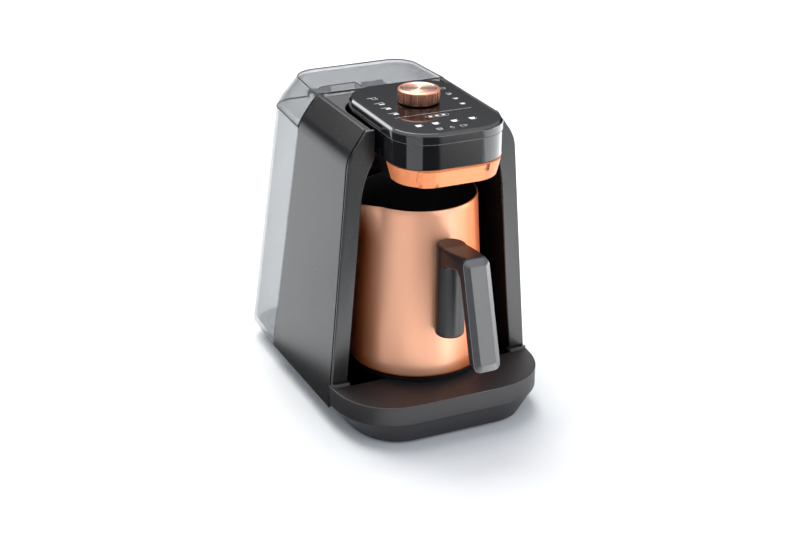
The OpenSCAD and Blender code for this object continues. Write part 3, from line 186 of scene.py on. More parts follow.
cloth_z, card_z, strip_z = 0.001, 0.002, 0.003
floor = sheet_of("floor", [(-7, -7), (7, -7), (7, 7), (-7, 7)], 0.0)
cloths = [
    sheet_of("cloth_front", [(-0.9, -1.5), (0.66, -1.5), (0.27, -0.38), (-0.20, -0.38)], cloth_z),
    sheet_of("cloth_left", [(-0.9, -0.22), (-0.25, -0.13), (-0.25, 0.24), (-0.9, 0.70)], cloth_z),
    sheet_of("cloth_side", [(-0.14, -0.20), (-0.085, -0.20), (-0.085, 0.14), (-0.14, 0.02)],
        cloth_z)]
cards = [
    sheet_of("card_right", [(0.42, -0.75), (0.95, -0.75), (0.95, 0.3), (0.30, 0.3)], card_z),
    sheet_of("card_near", [(0.10, -0.10), (0.20, -0.10), (0.36, -0.50), (0.22, -0.50)], card_z),
    sheet_of("card_front", [(-0.12, -0.22), (0.12, -0.22), (0.09, -0.12), (-0.12, -0.12)], card_z)]
strip = sheet_of("card_strip", [(0.045, -0.20), (0.115, -0.20), (0.20, -0.40), (0.13, -0.40)],
    strip_z)
for piece in (*cloths, *cards, strip):
    for ray in ("camera", "diffuse", "transmission", "shadow"):
        setattr(piece, "visible_" + ray, False)
print("cloths", len(cloths), "cards", len(cards), "and a strip")

# %% [markdown]
# Moulded plastic, rubber and satin metal all have a surface that is even from afar and grainy
# close up. One node group makes that grain: a fine noise for the height, and a broad, faint one
# for handling marks that change the gloss. It reads Object coordinates, so a metre in the pattern
# is a metre on the piece.

# %% Grain group


def group(name, inputs, outputs):
    """A shader node group with number inputs, and the nodes where it starts and ends."""
    tree = bpy.data.node_groups.new(name, "ShaderNodeTree")
    for label, value in inputs:
        socket = tree.interface.new_socket(label, in_out="INPUT", socket_type="NodeSocketFloat")
        socket.default_value = value
    for label in outputs:
        tree.interface.new_socket(label, in_out="OUTPUT", socket_type="NodeSocketFloat")
    return tree, tree.nodes.new("NodeGroupInput"), tree.nodes.new("NodeGroupOutput")


def noise(tree, scale, detail, vector):
    """A noise whose scale and place come from sockets."""
    n = tree.nodes.new("ShaderNodeTexNoise")
    n.inputs["Detail"].default_value = detail
    tree.links.new(vector, n.inputs["Vector"])
    tree.links.new(scale, n.inputs["Scale"])
    return n.outputs["Fac"]


grain, start, end = group("surface_grain", [("Grain scale", 1800), ("Mark scale", 14)],
    ["Height", "Marks"])
place = grain.nodes.new("ShaderNodeTexCoord").outputs["Object"]
grain.links.new(noise(grain, start.outputs["Grain scale"], 2, place), end.inputs["Height"])
marks = grain.nodes.new("ShaderNodeMapRange")
marks.interpolation_type = "SMOOTHSTEP"
marks.inputs["From Min"].default_value, marks.inputs["From Max"].default_value = 0.2, 0.8
grain.links.new(noise(grain, start.outputs["Mark scale"], 5, place), marks.inputs["Value"])
grain.links.new(marks.outputs["Result"], end.inputs["Marks"])
print(grain.name, [s.name for s in grain.interface.items_tree])

# %% [markdown]
# The knob's side is knurled so that wet fingers can hold it. From this far away the modelled
# teeth hardly show, so a second group shades finer ones: it takes the angle of each point round
# the knob's axis, counts teeth by it and darkens the colour in the grooves as painted shade. The
# rim above the knurl stays plain.

# %% Knurl group
knurl_top = 0.2388
knurled, start, end = group("knurled", [("Teeth", 104), ("Axis Y", axis_y), ("Top", knurl_top)],
    ["Height", "Marks"])


def calc(operation, *inputs):
    """A Math node in the knurled group, with sockets or numbers as its inputs."""
    n = knurled.nodes.new("ShaderNodeMath")
    n.operation = operation
    for i, value in enumerate(inputs):
        if isinstance(value, (int, float)):
            n.inputs[i].default_value = value
        else:
            knurled.links.new(value, n.inputs[i])
    return n.outputs[0]


spot = knurled.nodes.new("ShaderNodeSeparateXYZ")
knurled.links.new(knurled.nodes.new("ShaderNodeTexCoord").outputs["Object"], spot.inputs[0])
from_axis = calc("SUBTRACT", spot.outputs["Y"], start.outputs["Axis Y"])
turned_by = calc("ARCTAN2", from_axis, spot.outputs["X"])
teeth_by = calc("MULTIPLY", calc("DIVIDE", turned_by, math.tau), start.outputs["Teeth"])
tooth = calc("MULTIPLY", calc("PINGPONG", teeth_by, 0.5), 2)
ridge = calc("MAXIMUM", tooth, calc("GREATER_THAN", spot.outputs["Z"], start.outputs["Top"]))
knurled.links.new(ridge, end.inputs["Height"])
knurled.links.new(ridge, end.inputs["Marks"])
print(knurled.name, [s.name for s in knurled.interface.items_tree])

# %% [markdown]
# Every finish is one Principled shader. The helper mixes two near colours by the marks, moves the
# roughness a little by them and gives the height to a Bump node. What is the same all over the
# piece, such as the coat or the index of refraction, is set straight on the shader. Two effects
# depend on the slant of the view, and stay outside the groups: the pot's copper turns darker and
# deeper towards its sides, a painted shade for the shadow there, and clear plastic closes up where
# one looks along the wall.

# %% Slant helpers
rim_from, rim_to, rim_blend = 0.2, 0.48, 0.5
wall_blend = 0.35


def set_range(node, side, low, high):
    """The From or To side of a Map Range node."""
    node.inputs[side + " Min"].default_value, node.inputs[side + " Max"].default_value = low, high


def slant(t, blend):
    """How much the surface is seen at a slant, from 0 to 1."""
    weight = t.nodes.new("ShaderNodeLayerWeight")
    weight.inputs["Blend"].default_value = blend
    return weight.outputs["Facing"]


def side_shade_mix(t, middle, rim):
    """The middle colour, and the rim colour, a painted shade, where the surface is seen at a slant.
    """
    side, share = t.nodes.new("ShaderNodeMix"), t.nodes.new("ShaderNodeMapRange")
    side.data_type = "RGBA"
    side.inputs[7].default_value = (*rim, 1)
    set_range(share, "From", rim_from, rim_to)
    t.links.new(slant(t, rim_blend), share.inputs["Value"])
    t.links.new(share.outputs["Result"], side.inputs[0])
    t.links.new(middle, side.inputs[6])
    return side.outputs[2]


def cover(t, straight, along):
    """The alpha of a clear wall: one value seen straight on, the other seen along the wall."""
    share = t.nodes.new("ShaderNodeMapRange")
    set_range(share, "To", straight, along)
    t.links.new(slant(t, wall_blend), share.inputs["Value"])
    return share.outputs["Result"]


print("rim colour from", rim_from, "to", rim_to, "of the slant")

# %% Finish helper
finishes = {}


def finish(name, colour, roughness, spread=0.06, bump=0.0, depth=0.00002, metal=0.0,
        pattern="surface_grain", shade=0.85, alpha=None, rim=None, **fixed):
    """A material of that name: colour and roughness vary by the marks of its pattern."""
    m = bpy.data.materials.new(name)
    m.use_nodes = True
    t = m.node_tree
    shader = t.nodes["Principled BSDF"]
    source = t.nodes.new("ShaderNodeGroup")
    source.node_tree = bpy.data.node_groups[pattern]
    mix = t.nodes.new("ShaderNodeMix")
    mix.data_type = "RGBA"
    mix.inputs[6].default_value = (*[c * shade for c in colour], 1)
    mix.inputs[7].default_value = (*colour, 1)
    t.links.new(source.outputs["Marks"], mix.inputs[0])
    paint = side_shade_mix(t, mix.outputs[2], rim) if rim else mix.outputs[2]
    t.links.new(paint, shader.inputs["Base Color"])
    rough = t.nodes.new("ShaderNodeMapRange")
    set_range(rough, "To", roughness - spread / 2, roughness + spread / 2)
    t.links.new(source.outputs["Marks"], rough.inputs["Value"])
    t.links.new(rough.outputs["Result"], shader.inputs["Roughness"])
    shader.inputs["Metallic"].default_value = metal
    if bump:
        b = t.nodes.new("ShaderNodeBump")
        b.inputs["Strength"].default_value, b.inputs["Distance"].default_value = bump, depth
        t.links.new(source.outputs["Height"], b.inputs["Height"])
        t.links.new(b.outputs["Normal"], shader.inputs["Normal"])
    if alpha:
        t.links.new(cover(t, *alpha), shader.inputs["Alpha"])
    for label, value in fixed.items():
        shader.inputs[label.replace("_", " ")].default_value = value
    finishes[name] = m
    return m


print("patterns", [g.name for g in bpy.data.node_groups])

# %% [markdown]
# The housing is moulded black plastic. Frame and panels have almost the same dark grey, and only
# the light tells them apart. Their satin skin mirrors strongly, because its roughness is low and
# its specular level is above the usual half. The bay behind the pot mirrors as little as it can,
# so that it stays black.

# %% Housing finishes
satin = {"bump": 0.05, "depth": 0.00002}
finish("base_black", (0.022, 0.022, 0.024), 0.5, **satin)
finish("deck_charcoal", (0.021, 0.019, 0.021), 0.46, bump=0.2, depth=0.00004,
    Specular_IOR_Level=0.5)
finish("frame_grey", (0.008, 0.008, 0.0085), 0.27, spread=0.02, Specular_IOR_Level=0.75, **satin)
finish("panel_grey", (0.0075, 0.0075, 0.0079), 0.27, spread=0.02, shade=0.97,
    Specular_IOR_Level=0.78, **satin)
finish("liner_black", (0.004, 0.004, 0.0045), 0.5, Specular_IOR_Level=0.25)
finish("inner_black", (0.007, 0.007, 0.0075), 0.5, Specular_IOR_Level=0.2, **satin)
finish("cover_grey", (0.045, 0.045, 0.048), 0.4, **satin)
finish("rubber_black", (0.012, 0.012, 0.012), 0.75, bump=0.4, depth=0.00005)
print("housing", len(finishes))

# %% [markdown]
# The head is high-gloss black: a glossy shell, a ring round the panel and dark glass. A thin coat
# over a rougher base gives the deep shine of such plastic. The print is matt white.

# %% Head finishes
finish("head_gloss", (0.006, 0.006, 0.007), 0.10, spread=0.05, Coat_Weight=0.8, Coat_Roughness=0.03)
finish("ring_gloss", (0.010, 0.010, 0.011), 0.12, spread=0.05, Coat_Weight=0.8, Coat_Roughness=0.03)
finish("glass_black", (0.004, 0.004, 0.005), 0.06, spread=0.04, IOR=1.5)
finish("mask_white", (0.8, 0.8, 0.78), 0.5)
finish("print_white", (0.72, 0.72, 0.72), 0.5)
print("with the head", len(finishes))

# %% [markdown]
# Three copper-coloured pieces are three different things. The pot is steel under copper lacquer,
# which is only half a metal to the light. The band is lacquered plastic and nearly matt. The knob
# and its disc are solid metal, and only they mirror like one.

# %% Copper finishes
# The rim colour is painted shade: darker, deeper copper where the pot's sides are seen at a slant.
finish("pot_copper", (0.92, 0.465, 0.292), 0.40, spread=0.02, metal=0.55, shade=0.98,
    rim=(0.83, 0.21, 0.065))
finish("band_copper", (0.95, 0.30, 0.112), 0.42, spread=0.03, metal=0.2, shade=0.97)
# The notch's dark brown is painted shade in the recess.
finish("notch_shade_brown", (0.20, 0.055, 0.02), 0.5)
# The knurl's grooves are painted shade: their colour drops to half between the teeth.
finish("knob_copper", (0.80, 0.38, 0.25), 0.28, metal=1.0, shade=0.5, pattern="knurled")
finish("disc_copper", (0.90, 0.54, 0.41), 0.2, spread=0.02, metal=1.0)
print("with copper", len(finishes))

# %% [markdown]
# The handle is satin black, and the cover on its grip is a paler grey that catches more light.
# The pot's foot and its inside are nearly black.

# %% Handle and pot finishes
finish("handle_black", (0.013, 0.013, 0.0135), 0.36, spread=0.02, Specular_IOR_Level=0.5, **satin)
finish("cover_satin", (0.062, 0.062, 0.066), 0.3, Specular_IOR_Level=0.9, **satin)
finish("pot_base_black", (0.004, 0.004, 0.004), 0.5, Specular_IOR_Level=0.3)
finish("pot_inside", (0.03, 0.028, 0.027), 0.35)
print("with handle and pot", len(finishes))

# %% [markdown]
# The tank is clear plastic, and its lid is tinted like smoke. Light passes a thin wall almost
# straight, so alpha stands for it: a refracting shell would take many more bounces and time for
# the same look. The alpha grows with the slant, as the light's way through the wall does.

# %% Clear finishes
finish("tank_clear", (0.32, 0.34, 0.35), 0.08, alpha=(0.22, 0.62))
finish("lid_smoke", (0.16, 0.165, 0.177), 0.08, alpha=(0.13, 0.68))
finish("catch_black", (0.01, 0.01, 0.01), 0.4)
finish("filter_white", (0.75, 0.75, 0.73), 0.45)
finish("valve_grey", (0.10, 0.10, 0.11), 0.5)
print("with the tank", len(finishes))

# %% [markdown]
# Inner pieces are hardly ever seen, so each gets the plain look of its stuff. The last four are
# for the thin lines along edges, which come at the end: the smoky one for the lid, the black one
# painted shadow in gaps, and the two greys painted highlights.

# %% Inner and line finishes
finish("steel", (0.62, 0.62, 0.63), 0.28, metal=1.0)
finish("heater_aluminium", (0.66, 0.66, 0.67), 0.34, metal=1.0, bump=0.2)
finish("element_steel", (0.35, 0.30, 0.26), 0.4, spread=0.2, metal=1.0)
finish("sensor_ceramic", (0.70, 0.66, 0.58), 0.5)
finish("board_green", (0.02, 0.16, 0.06), 0.35)
finish("sensor_dark", (0.02, 0.01, 0.02), 0.1)
finish("encoder_grey", (0.20, 0.20, 0.21), 0.45)
finish("hose_silicone", (0.72, 0.72, 0.70), 0.35)
finish("edge_smoke", (0.004, 0.004, 0.005), 0.3)
finish("shadow_line_black", (0.003, 0.003, 0.003), 0.6, Specular_IOR_Level=0.2)
finish("highlight_line_grey", (0.11, 0.11, 0.115), 0.3)
finish("highlight_line_pale", (0.34, 0.34, 0.35), 0.35)
print("finishes", len(finishes))

# %% [markdown]
# The studio has finishes of its own. The floor glows a little more with distance, so that it
# stays white where the lights no longer reach. The black cloths grow pale towards the right, so
# that their dark reflection fades out on that side. Both follow Object coordinates.

# %% Glow helpers
floor_glow = 0.8, 2.4, 0.0, 0.62
cloth_glow = 0.14, 0.33, 0.06, 1.0


def glow_by(name, measure, start, end, low, high):
    """Emission that grows from low to high as the measured length goes from start to end."""
    t = finishes[name].node_tree
    growth = t.nodes.new("ShaderNodeMapRange")
    set_range(growth, "From", start, end)
    set_range(growth, "To", low, high)
    place = t.nodes.new("ShaderNodeTexCoord").outputs["Object"]
    t.links.new(measure(t, place), growth.inputs["Value"])
    t.links.new(growth.outputs["Result"], t.nodes["Principled BSDF"].inputs["Emission Color"])
    return growth


def distance(t, vector):
    """The distance from the middle of the studio."""
    length = t.nodes.new("ShaderNodeVectorMath")
    length.operation = "LENGTH"
    t.links.new(vector, length.inputs[0])
    return length.outputs["Value"]


def rightwards(t, vector):
    """The place along X."""
    across = t.nodes.new("ShaderNodeSeparateXYZ")
    t.links.new(vector, across.inputs[0])
    return across.outputs["X"]


print("floor glows from", floor_glow[0], "to", floor_glow[1], "m")

# %% Studio finishes
white = {"shade": 1.0, "Emission_Color": (1, 1, 1, 1)}
finish("floor_white", (0.84, 0.84, 0.84), 0.8, spread=0.0, shade=1.0, Emission_Strength=1.0)
finish("cloth_black", (0.004, 0.004, 0.004), 0.9, Specular_IOR_Level=0.0, Emission_Strength=1.0)
finish("card_white", (0.9, 0.9, 0.9), 0.9, Emission_Strength=1.35, **white)
finish("strip_white", (0.9, 0.9, 0.9), 0.9, Emission_Strength=5.0, **white)
glow_by("floor_white", distance, *floor_glow).interpolation_type = "SMOOTHSTEP"
glow_by("cloth_black", rightwards, *cloth_glow)
floor.data.materials.append(finishes["floor_white"])
strip.data.materials.append(finishes["strip_white"])
for piece in cloths + cards:
    piece.data.materials.append(finishes["cloth_black" if piece in cloths else "card_white"])
print("studio pieces", 2 + len(cloths) + len(cards))

# %% [markdown]
# The construction model has sharp edges, and real mouldings never do: the thin bright line along
# an edge is what makes a dark piece readable. A merged copy of the piece gets its flat faces
# joined up again and then a Bevel modifier, which rounds only the edges that turn by more than a
# set angle. The grip's cover has long shallow bevels, so its angle is smaller. The copy stands
# for the original, which stays in the model for contact.

# %% Rounding helper
body_of = {n: b for b, ns in frame["record"]["behaviour"]["bodies"].items() for n in ns}
merge, flat = 2e-6, math.radians(0.4)


def rounded(node, width, angle):
    """A copy of a node with joined flats, smooth curves and bevelled edges."""
    mesh = nodes[node].data.copy()
    mesh.name = node + "_shell"
    bm = bmesh.new()
    bm.from_mesh(mesh)
    bmesh.ops.remove_doubles(bm, verts=bm.verts, dist=merge)
    bmesh.ops.dissolve_limit(bm, angle_limit=flat, verts=bm.verts, edges=bm.edges)
    for face in bm.faces:
        face.smooth = True
    for edge in bm.edges:
        edge.smooth = len(edge.link_faces) == 2 and edge.calc_face_angle(0) < angle
    bm.to_mesh(mesh)
    bm.free()
    mesh.materials.clear()
    mesh.materials.append(finishes[slots[node]])
    piece = bpy.data.objects.new(node + "_shell", mesh)
    scene.collection.objects.link(piece)
    if width:
        bevel = piece.modifiers.new("edges", "BEVEL")
        bevel.width, bevel.segments, bevel.profile = width, 2, 0.5
        bevel.limit_method, bevel.angle_limit = "ANGLE", angle
        bevel.use_clamp_overlap = False
        bevel.miter_outer = "MITER_ARC"
    even = piece.modifiers.new("even", "WEIGHTED_NORMAL")
    even.mode, even.weight, even.keep_sharp = "FACE_AREA", 100, not width
    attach(piece, body_of[node])
    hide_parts(node)


print("edges flatter than", round(math.degrees(flat), 2), "degrees are dissolved")

# %% Rounded copies
edge_widths = {"base_pan": 0.0, "deck": 0.0008, "front_frame": 0.0009, "side_panel_left": 0.0005,
    "side_panel_right": 0.0005, "top_cover": 0.0003, "head_housing": 0.0003, "head_ring": 0.0004,
    "touch_glass": 0.0002, "copper_band": 0.0004, "grip_cover": 0.0003, "tank": 0.0002,
    "tank_lid": 0.0002, "knob": 0.0001, "bay_liner": 0.0}
shallow, usual = math.radians(15), math.radians(32)
for name, width in edge_widths.items():
    rounded(name, width, shallow if name == "grip_cover" else usual)
for name, node in nodes.items():
    node.data.materials.clear()
    node.data.materials.append(finishes[slots[name]])
print("rounded copies", len(edge_widths))

# %% [markdown]
# The handle is one soft moulding where a round block flows into the bridge and the grip. Voxels
# half a millimetre wide rebuild its skin evenly, and a few rounds of smoothing then melt every
# edge by the same small radius, which no bevel could do where three shapes meet.

# %% Handle
mesh = nodes["handle_core"].data.copy()
mesh.name = "handle_soft"
mesh.materials.clear()
mesh.materials.append(finishes["handle_black"])
handle = bpy.data.objects.new("handle_soft", mesh)
scene.collection.objects.link(handle)
skin = handle.modifiers.new("voxels", "REMESH")
skin.mode, skin.voxel_size, skin.use_smooth_shade = "VOXEL", 0.0005, True
melt = handle.modifiers.new("melt", "SMOOTH")
melt.factor, melt.iterations = 0.5, 20
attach(handle, body_of["handle_core"])
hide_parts("handle_core")
print("handle", len(mesh.polygons), "faces before the voxels")

# %% [markdown]
# Two of the pieces are round: the pot, which is drawn and rolled, and the disc, which is turned
# on a lathe. Both begin as a half outline that is spun round the upright axis. The spin leaves
# doubled points where it closes and on the axis, so they are merged first, and the normals are
# then turned outwards.

# %% Turning helpers
same_spot = 1e-6


def turned(outline, steps):
    """A closed shell: a half outline of radius and height, spun round the upright axis."""
    bm = bmesh.new()
    ring = [bm.verts.new((r, 0, z)) for r, z in outline]
    line = [bm.edges.new(pair) for pair in zip(ring, ring[1:])]
    bmesh.ops.spin(bm, geom=ring + line, cent=(0, 0, 0), axis=(0, 0, 1), angle=math.tau,
        steps=steps, use_merge=True)
    bmesh.ops.remove_doubles(bm, verts=bm.verts, dist=same_spot)
    bmesh.ops.recalc_face_normals(bm, faces=bm.faces)
    for face in bm.faces:
        face.smooth = True
    return bm


def piece_from(bm, name, *looks):
    """An object made of the bmesh, in the named finishes."""
    mesh = bpy.data.meshes.new(name)
    bm.to_mesh(mesh)
    bm.free()
    for look in looks:
        mesh.materials.append(finishes[look])
    piece = bpy.data.objects.new(name, mesh)
    scene.collection.objects.link(piece)
    print(name, len(mesh.polygons), "faces")
    return piece


# %% [markdown]
# The pot's outline gives it an even wall and a rolled rim. The spout is then drawn out of the
# upper wall: each point within thirty degrees of the spout's direction, -X, moves outwards, most
# at the rim and not at all below. The inside gets a finish of its own.

# %% Pot outline
pot_low, pot_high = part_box("pot_body")
foot_r, rim_r, wall, rows = 0.0502, 0.0433, 0.0012, 24
z0, z1 = pot_low.z, pot_high.z


def up_wall(inset, levels):
    """Points of the leaning wall, so far inside its outer face, at the given levels of rows."""
    return [(foot_r - inset + (rim_r - foot_r) * i / rows, z0 + (z1 - z0) * i / rows)
        for i in levels]


foot = [(0.0, z0), (foot_r - 0.0025, z0), (foot_r - 0.0009, z0 + 0.0007), (foot_r, z0 + 0.0025)]
rolled = [(rim_r + 0.00005, z1 - 0.0006), (rim_r - 0.0002, z1 - 0.0001), (rim_r - 0.0006, z1),
    (rim_r - 0.0010, z1 - 0.0001), (rim_r - wall, z1 - 0.0006)]
inner_foot = [(foot_r - 0.005, z0 + 0.0022), (0.0, z0 + 0.0018)]
outer_wall, inner_wall = up_wall(0, range(2, rows)), up_wall(wall, range(rows - 1, 0, -1))
outline = foot + outer_wall + rolled + inner_wall + inner_foot
print("pot outline", len(outline), "points")

# %% Pot
spout_reach, spout_h, spout_half = 0.054, 0.030, 30
narrowing, flare = 1.3, 1.5
bm = turned(outline, steps=144)
for v in bm.verts:
    high = (v.co.z - (z1 - spout_h)) / spout_h
    off = math.degrees(math.atan2(v.co.y, -v.co.x)) / spout_half
    if high > 0 and abs(off) < 1:
        share = math.cos(off * math.pi / 2) ** narrowing * min(high, 1) ** flare
        v.co.x -= (spout_reach - rim_r) * share
for face in bm.faces:
    middle = face.calc_center_median()
    outward = Vector((middle.x, middle.y, 0)).normalized().dot(face.normal)
    inside = outward < -0.3 or (face.normal.z > 0.5 and middle.z < z1 - 0.01)
    face.material_index = 1 if inside else 0
bmesh.ops.translate(bm, verts=bm.verts, vec=(0, axis_y, 0))
pot = piece_from(bm, "pot_wall", "pot_copper", "pot_inside")
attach(pot, "pot")
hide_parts("pot_body")

# %% [markdown]
# The disc on the knob is turned metal. Fine ridges run round it like the grooves of a record: each
# one is a small cylinder to the light, so the reflections gather into two bright wedges, and the
# wedges stay where the lamps are when the knob is spun. The rim stands a little proud.

# %% Knob disc
disc_low, disc_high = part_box("knob_disc")
disc_r, disc_h = (disc_high.x - disc_low.x) / 2, disc_high.z - disc_low.z
pitch, swell, sunk, per_ridge = 0.00045, 0.000021, 0.0003, 6
rings = int((disc_r - 0.0012) / pitch) * per_ridge
grooves = [(0.0, -swell)]
for i in range(1, rings):
    grooves.append((pitch * i / per_ridge, swell * (math.cos(math.tau * i / per_ridge) - 1)))
grooves = [(r, z - sunk) for r, z in grooves if r < disc_r - 0.0013]
proud = [(disc_r - 0.0012, -sunk), (disc_r - 0.0010, -0.00008), (disc_r - 0.0007, 0),
    (disc_r - 0.0003, -0.00006), (disc_r, -sunk), (disc_r, -disc_h)]
bm = turned(grooves + proud, steps=96)
bmesh.ops.translate(bm, verts=bm.verts, vec=(0, axis_y, disc_high.z))
disc = piece_from(bm, "turned_disc", "disc_copper")
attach(disc, "knob")
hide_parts("knob_disc")

# %% [markdown]
# The print on the glass is drawn from strokes and filled shapes, each a few millimetres across:
# long-handled pots for the number of servings on the left, cups for the strength on the right,
# and the program keys in front. It lies a twentieth of a millimetre above the glass. Each icon is
# drawn round its own centre, and the list at says where that centre is and how large it is.

# %% Drawing tools
print_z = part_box("touch_glass")[1].z + 0.00005
bm = bmesh.new()
at = [0.0, 0.0, 1.0]


def point(x, y):
    """A vertex at a place in millimetres from the icon's centre."""
    return bm.verts.new(((at[0] + x * at[2]) / 1000, (at[1] + y * at[2]) / 1000 + axis_y, print_z))


def fill(*corners):
    """A filled shape."""
    bm.faces.new([point(x, y) for x, y in corners])


def stroke(*points, width=0.34, closed=False):
    """A line of even width through points."""
    points = list(points) + ([points[0]] if closed else [])
    for (x0, y0), (x1, y1) in zip(points, points[1:]):
        run = math.hypot(x1 - x0, y1 - y0) or 1
        dx, dy = (x1 - x0) / run * width / 2, (y1 - y0) / run * width / 2
        fill((x0 - dx + dy, y0 - dy - dx), (x1 + dx + dy, y1 + dy - dx),
            (x1 + dx - dy, y1 + dy + dx), (x0 - dx - dy, y0 - dy + dx))


def circle(x, y, rx, ry=None, n=14, start=0, end=360):
    """Points on a circle or an arc of it, in degrees from the right."""
    ry = ry or rx
    turns = [math.radians(start + (end - start) * i / n) for i in range(n + (end - start < 360))]
    return [(x + rx * math.cos(a), y + ry * math.sin(a)) for a in turns]


print("print lies at z", round(print_z, 5))

# %% Icons


def cezve(level):
    """A small pot with a long handle, filled to a level from 0 to 3."""
    stroke((-4.4, 2.0), (-1.3, 1.7), width=0.5)
    stroke((-1.3, 2.4), (-0.8, 0.6), (-1.7, -2.2), (3.1, -2.2), (2.2, 0.6), (2.9, 2.4), closed=True,
        width=0.36)
    if level:
        top = min(-2.2 + 1.3 * level, 0.5)
        fill((-1.5, -2.0), (2.9, -2.0), (2.4, top), (-1.0, top))


def cup(level):
    """A cup with its ear, filled to a level from 0 to 3."""
    stroke((-2.2, 1.9), (2.2, 1.9), (1.6, -1.9), (-1.6, -1.9), closed=True, width=0.38)
    stroke(*circle(2.1, 0.4, 1.2, n=8, start=-70, end=80))
    if level:
        fill((-1.7, -1.7), (1.7, -1.7), (1.9, -1.7 + level), (-1.9, -1.7 + level))


def full_cup():
    """A cup in one solid shape, with its ear."""
    fill((-3.1, 2.5), (2.2, 2.5), (1.5, -2.3), (-2.5, -2.3))
    stroke(*circle(2.2, 0.6, 1.6, n=8, start=-70, end=75), width=0.6)


def glass_of_water():
    """A tumbler with its water line."""
    stroke((-1.9, 1.8), (-1.4, -1.8), (1.4, -1.8), (1.9, 1.8), closed=True)
    stroke((-1.6, 0.2), (1.6, 0.2))


def power_key():
    """A ring with a bar."""
    stroke(*circle(0, -0.4, 1.4), closed=True)
    stroke((0, -0.3), (0, 2.2))


def mug():
    """A wide cup in outline."""
    stroke((-2.2, 1.5), (1.4, 1.5), (1.2, -1.5), (-2.0, -1.5), closed=True)
    stroke(*circle(1.6, 0.1, 1.1, n=8, start=-80, end=80))


keys = ((-12.1, glass_of_water), (-3.0, power_key), (5.8, mug))
print("small keys", len(keys))

# %% Panel print
for i, (x, y) in enumerate(((-26.6, 18.5), (-26.6, 6), (-26.6, -5), (-26.6, -17.5))):
    at[:] = x, y, 0.88
    cezve(i)
for i, (x, y) in enumerate(((29, 20.5), (27.4, 7.6), (27.2, -3.6), (26.4, -16))):
    at[:] = x, y, 0.8
    cup(i)
for x in (-22, -9.3, 4.8, 18.5):
    at[:] = x, -47, 0.85
    full_cup()
at[:] = -1.6, -32.4, 1.0
stroke(*circle(-6.6, 0, 2.1, n=10, start=90, end=270),
    *circle(6.6, 0, 2.1, n=10, start=-90, end=90), closed=True, width=0.3)
for x in (-5, 0, 5):
    fill(*circle(x, 0, 1.5, 1.0))
at[:] = -1.1, -26.1, 1.0
stroke((-29, 0), (29, 0), width=0.26)
for x, icon in keys:
    at[:] = x, -58.2, 1.0
    icon()
panel_print = piece_from(bm, "panel_print", "print_white")
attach(panel_print, body_of["touch_glass"])

# %% [markdown]
# The copper band carries a raised plate in front, with a small notch near its right end. The
# plate is cut out of the band's own front faces and thickened outwards by half a millimetre, so
# it follows the corner and the slope exactly. The notch gets a thin dark brown layer that is
# painted shade for the shadow inside it.

# %% Band cutting
back_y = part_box("copper_band")[1].y
plate_left, notch_left, notch_right, plate_right = cuts_x = (-0.028, 0.0192, 0.0223, 0.034)
notch_foot, plate_top = cuts_z = (0.1975, 0.2030)
faces_front, leans_down, front_depth = -0.3, -0.05, 0.008


def off_band(name, keep, thickness, look):
    """The band's front faces that pass keep, cut at the given lines and thickened outwards."""
    bm = bmesh.new()
    bm.from_mesh(nodes["copper_band"].data)
    bmesh.ops.remove_doubles(bm, verts=bm.verts, dist=merge)
    rest = [f for f in bm.faces if f.normal.y >= faces_front or f.normal.z >= leans_down
        or f.calc_center_median().y >= back_y - front_depth]
    bmesh.ops.delete(bm, geom=rest, context="FACES")
    cuts = [((x, 0, 0), (1, 0, 0)) for x in cuts_x] + [((0, 0, z), (0, 0, 1)) for z in cuts_z]
    for place, along in cuts:
        bmesh.ops.bisect_plane(bm, geom=bm.verts[:] + bm.edges[:] + bm.faces[:], plane_co=place,
            plane_no=along)
    rest = [f for f in bm.faces if not keep(f.calc_center_median())]
    bmesh.ops.delete(bm, geom=rest, context="FACES")
    piece = piece_from(bm, name, look)
    thick = piece.modifiers.new("thick", "SOLIDIFY")
    thick.thickness, thick.offset = thickness, 0.9
    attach(piece, body_of["copper_band"])


print("plate is", round(plate_right - plate_left, 4), "m wide")

# %% Band plate


def in_notch(m):
    """Whether a middle lies in the notch."""
    return notch_left < m.x < notch_right and notch_foot < m.z < plate_top


def in_plate(m):
    """Whether a middle lies in the plate, round the notch."""
    return plate_left < m.x < plate_right and m.z < plate_top and not in_notch(m)


off_band("band_plate", in_plate, 0.0006, "band_copper")
# A thin dark brown layer in the notch is painted shade.
off_band("band_notch_shade", in_notch, 0.0001, "notch_shade_brown")

# %% [markdown]
# Clear plastic shows its edges as dark lines, because light that enters there leaves somewhere
# else; the smoky rods along the lid paint those dark edges. Where two mouldings meet, a black rod
# is painted shadow in the hairline gap between them, and the grey and the pale rods are painted
# highlights along edges. All of these are thin rods laid along sharp edges found on the pieces
# themselves, and they ride on the same bodies. No rod reaches past the overall width.

# %% Line helper


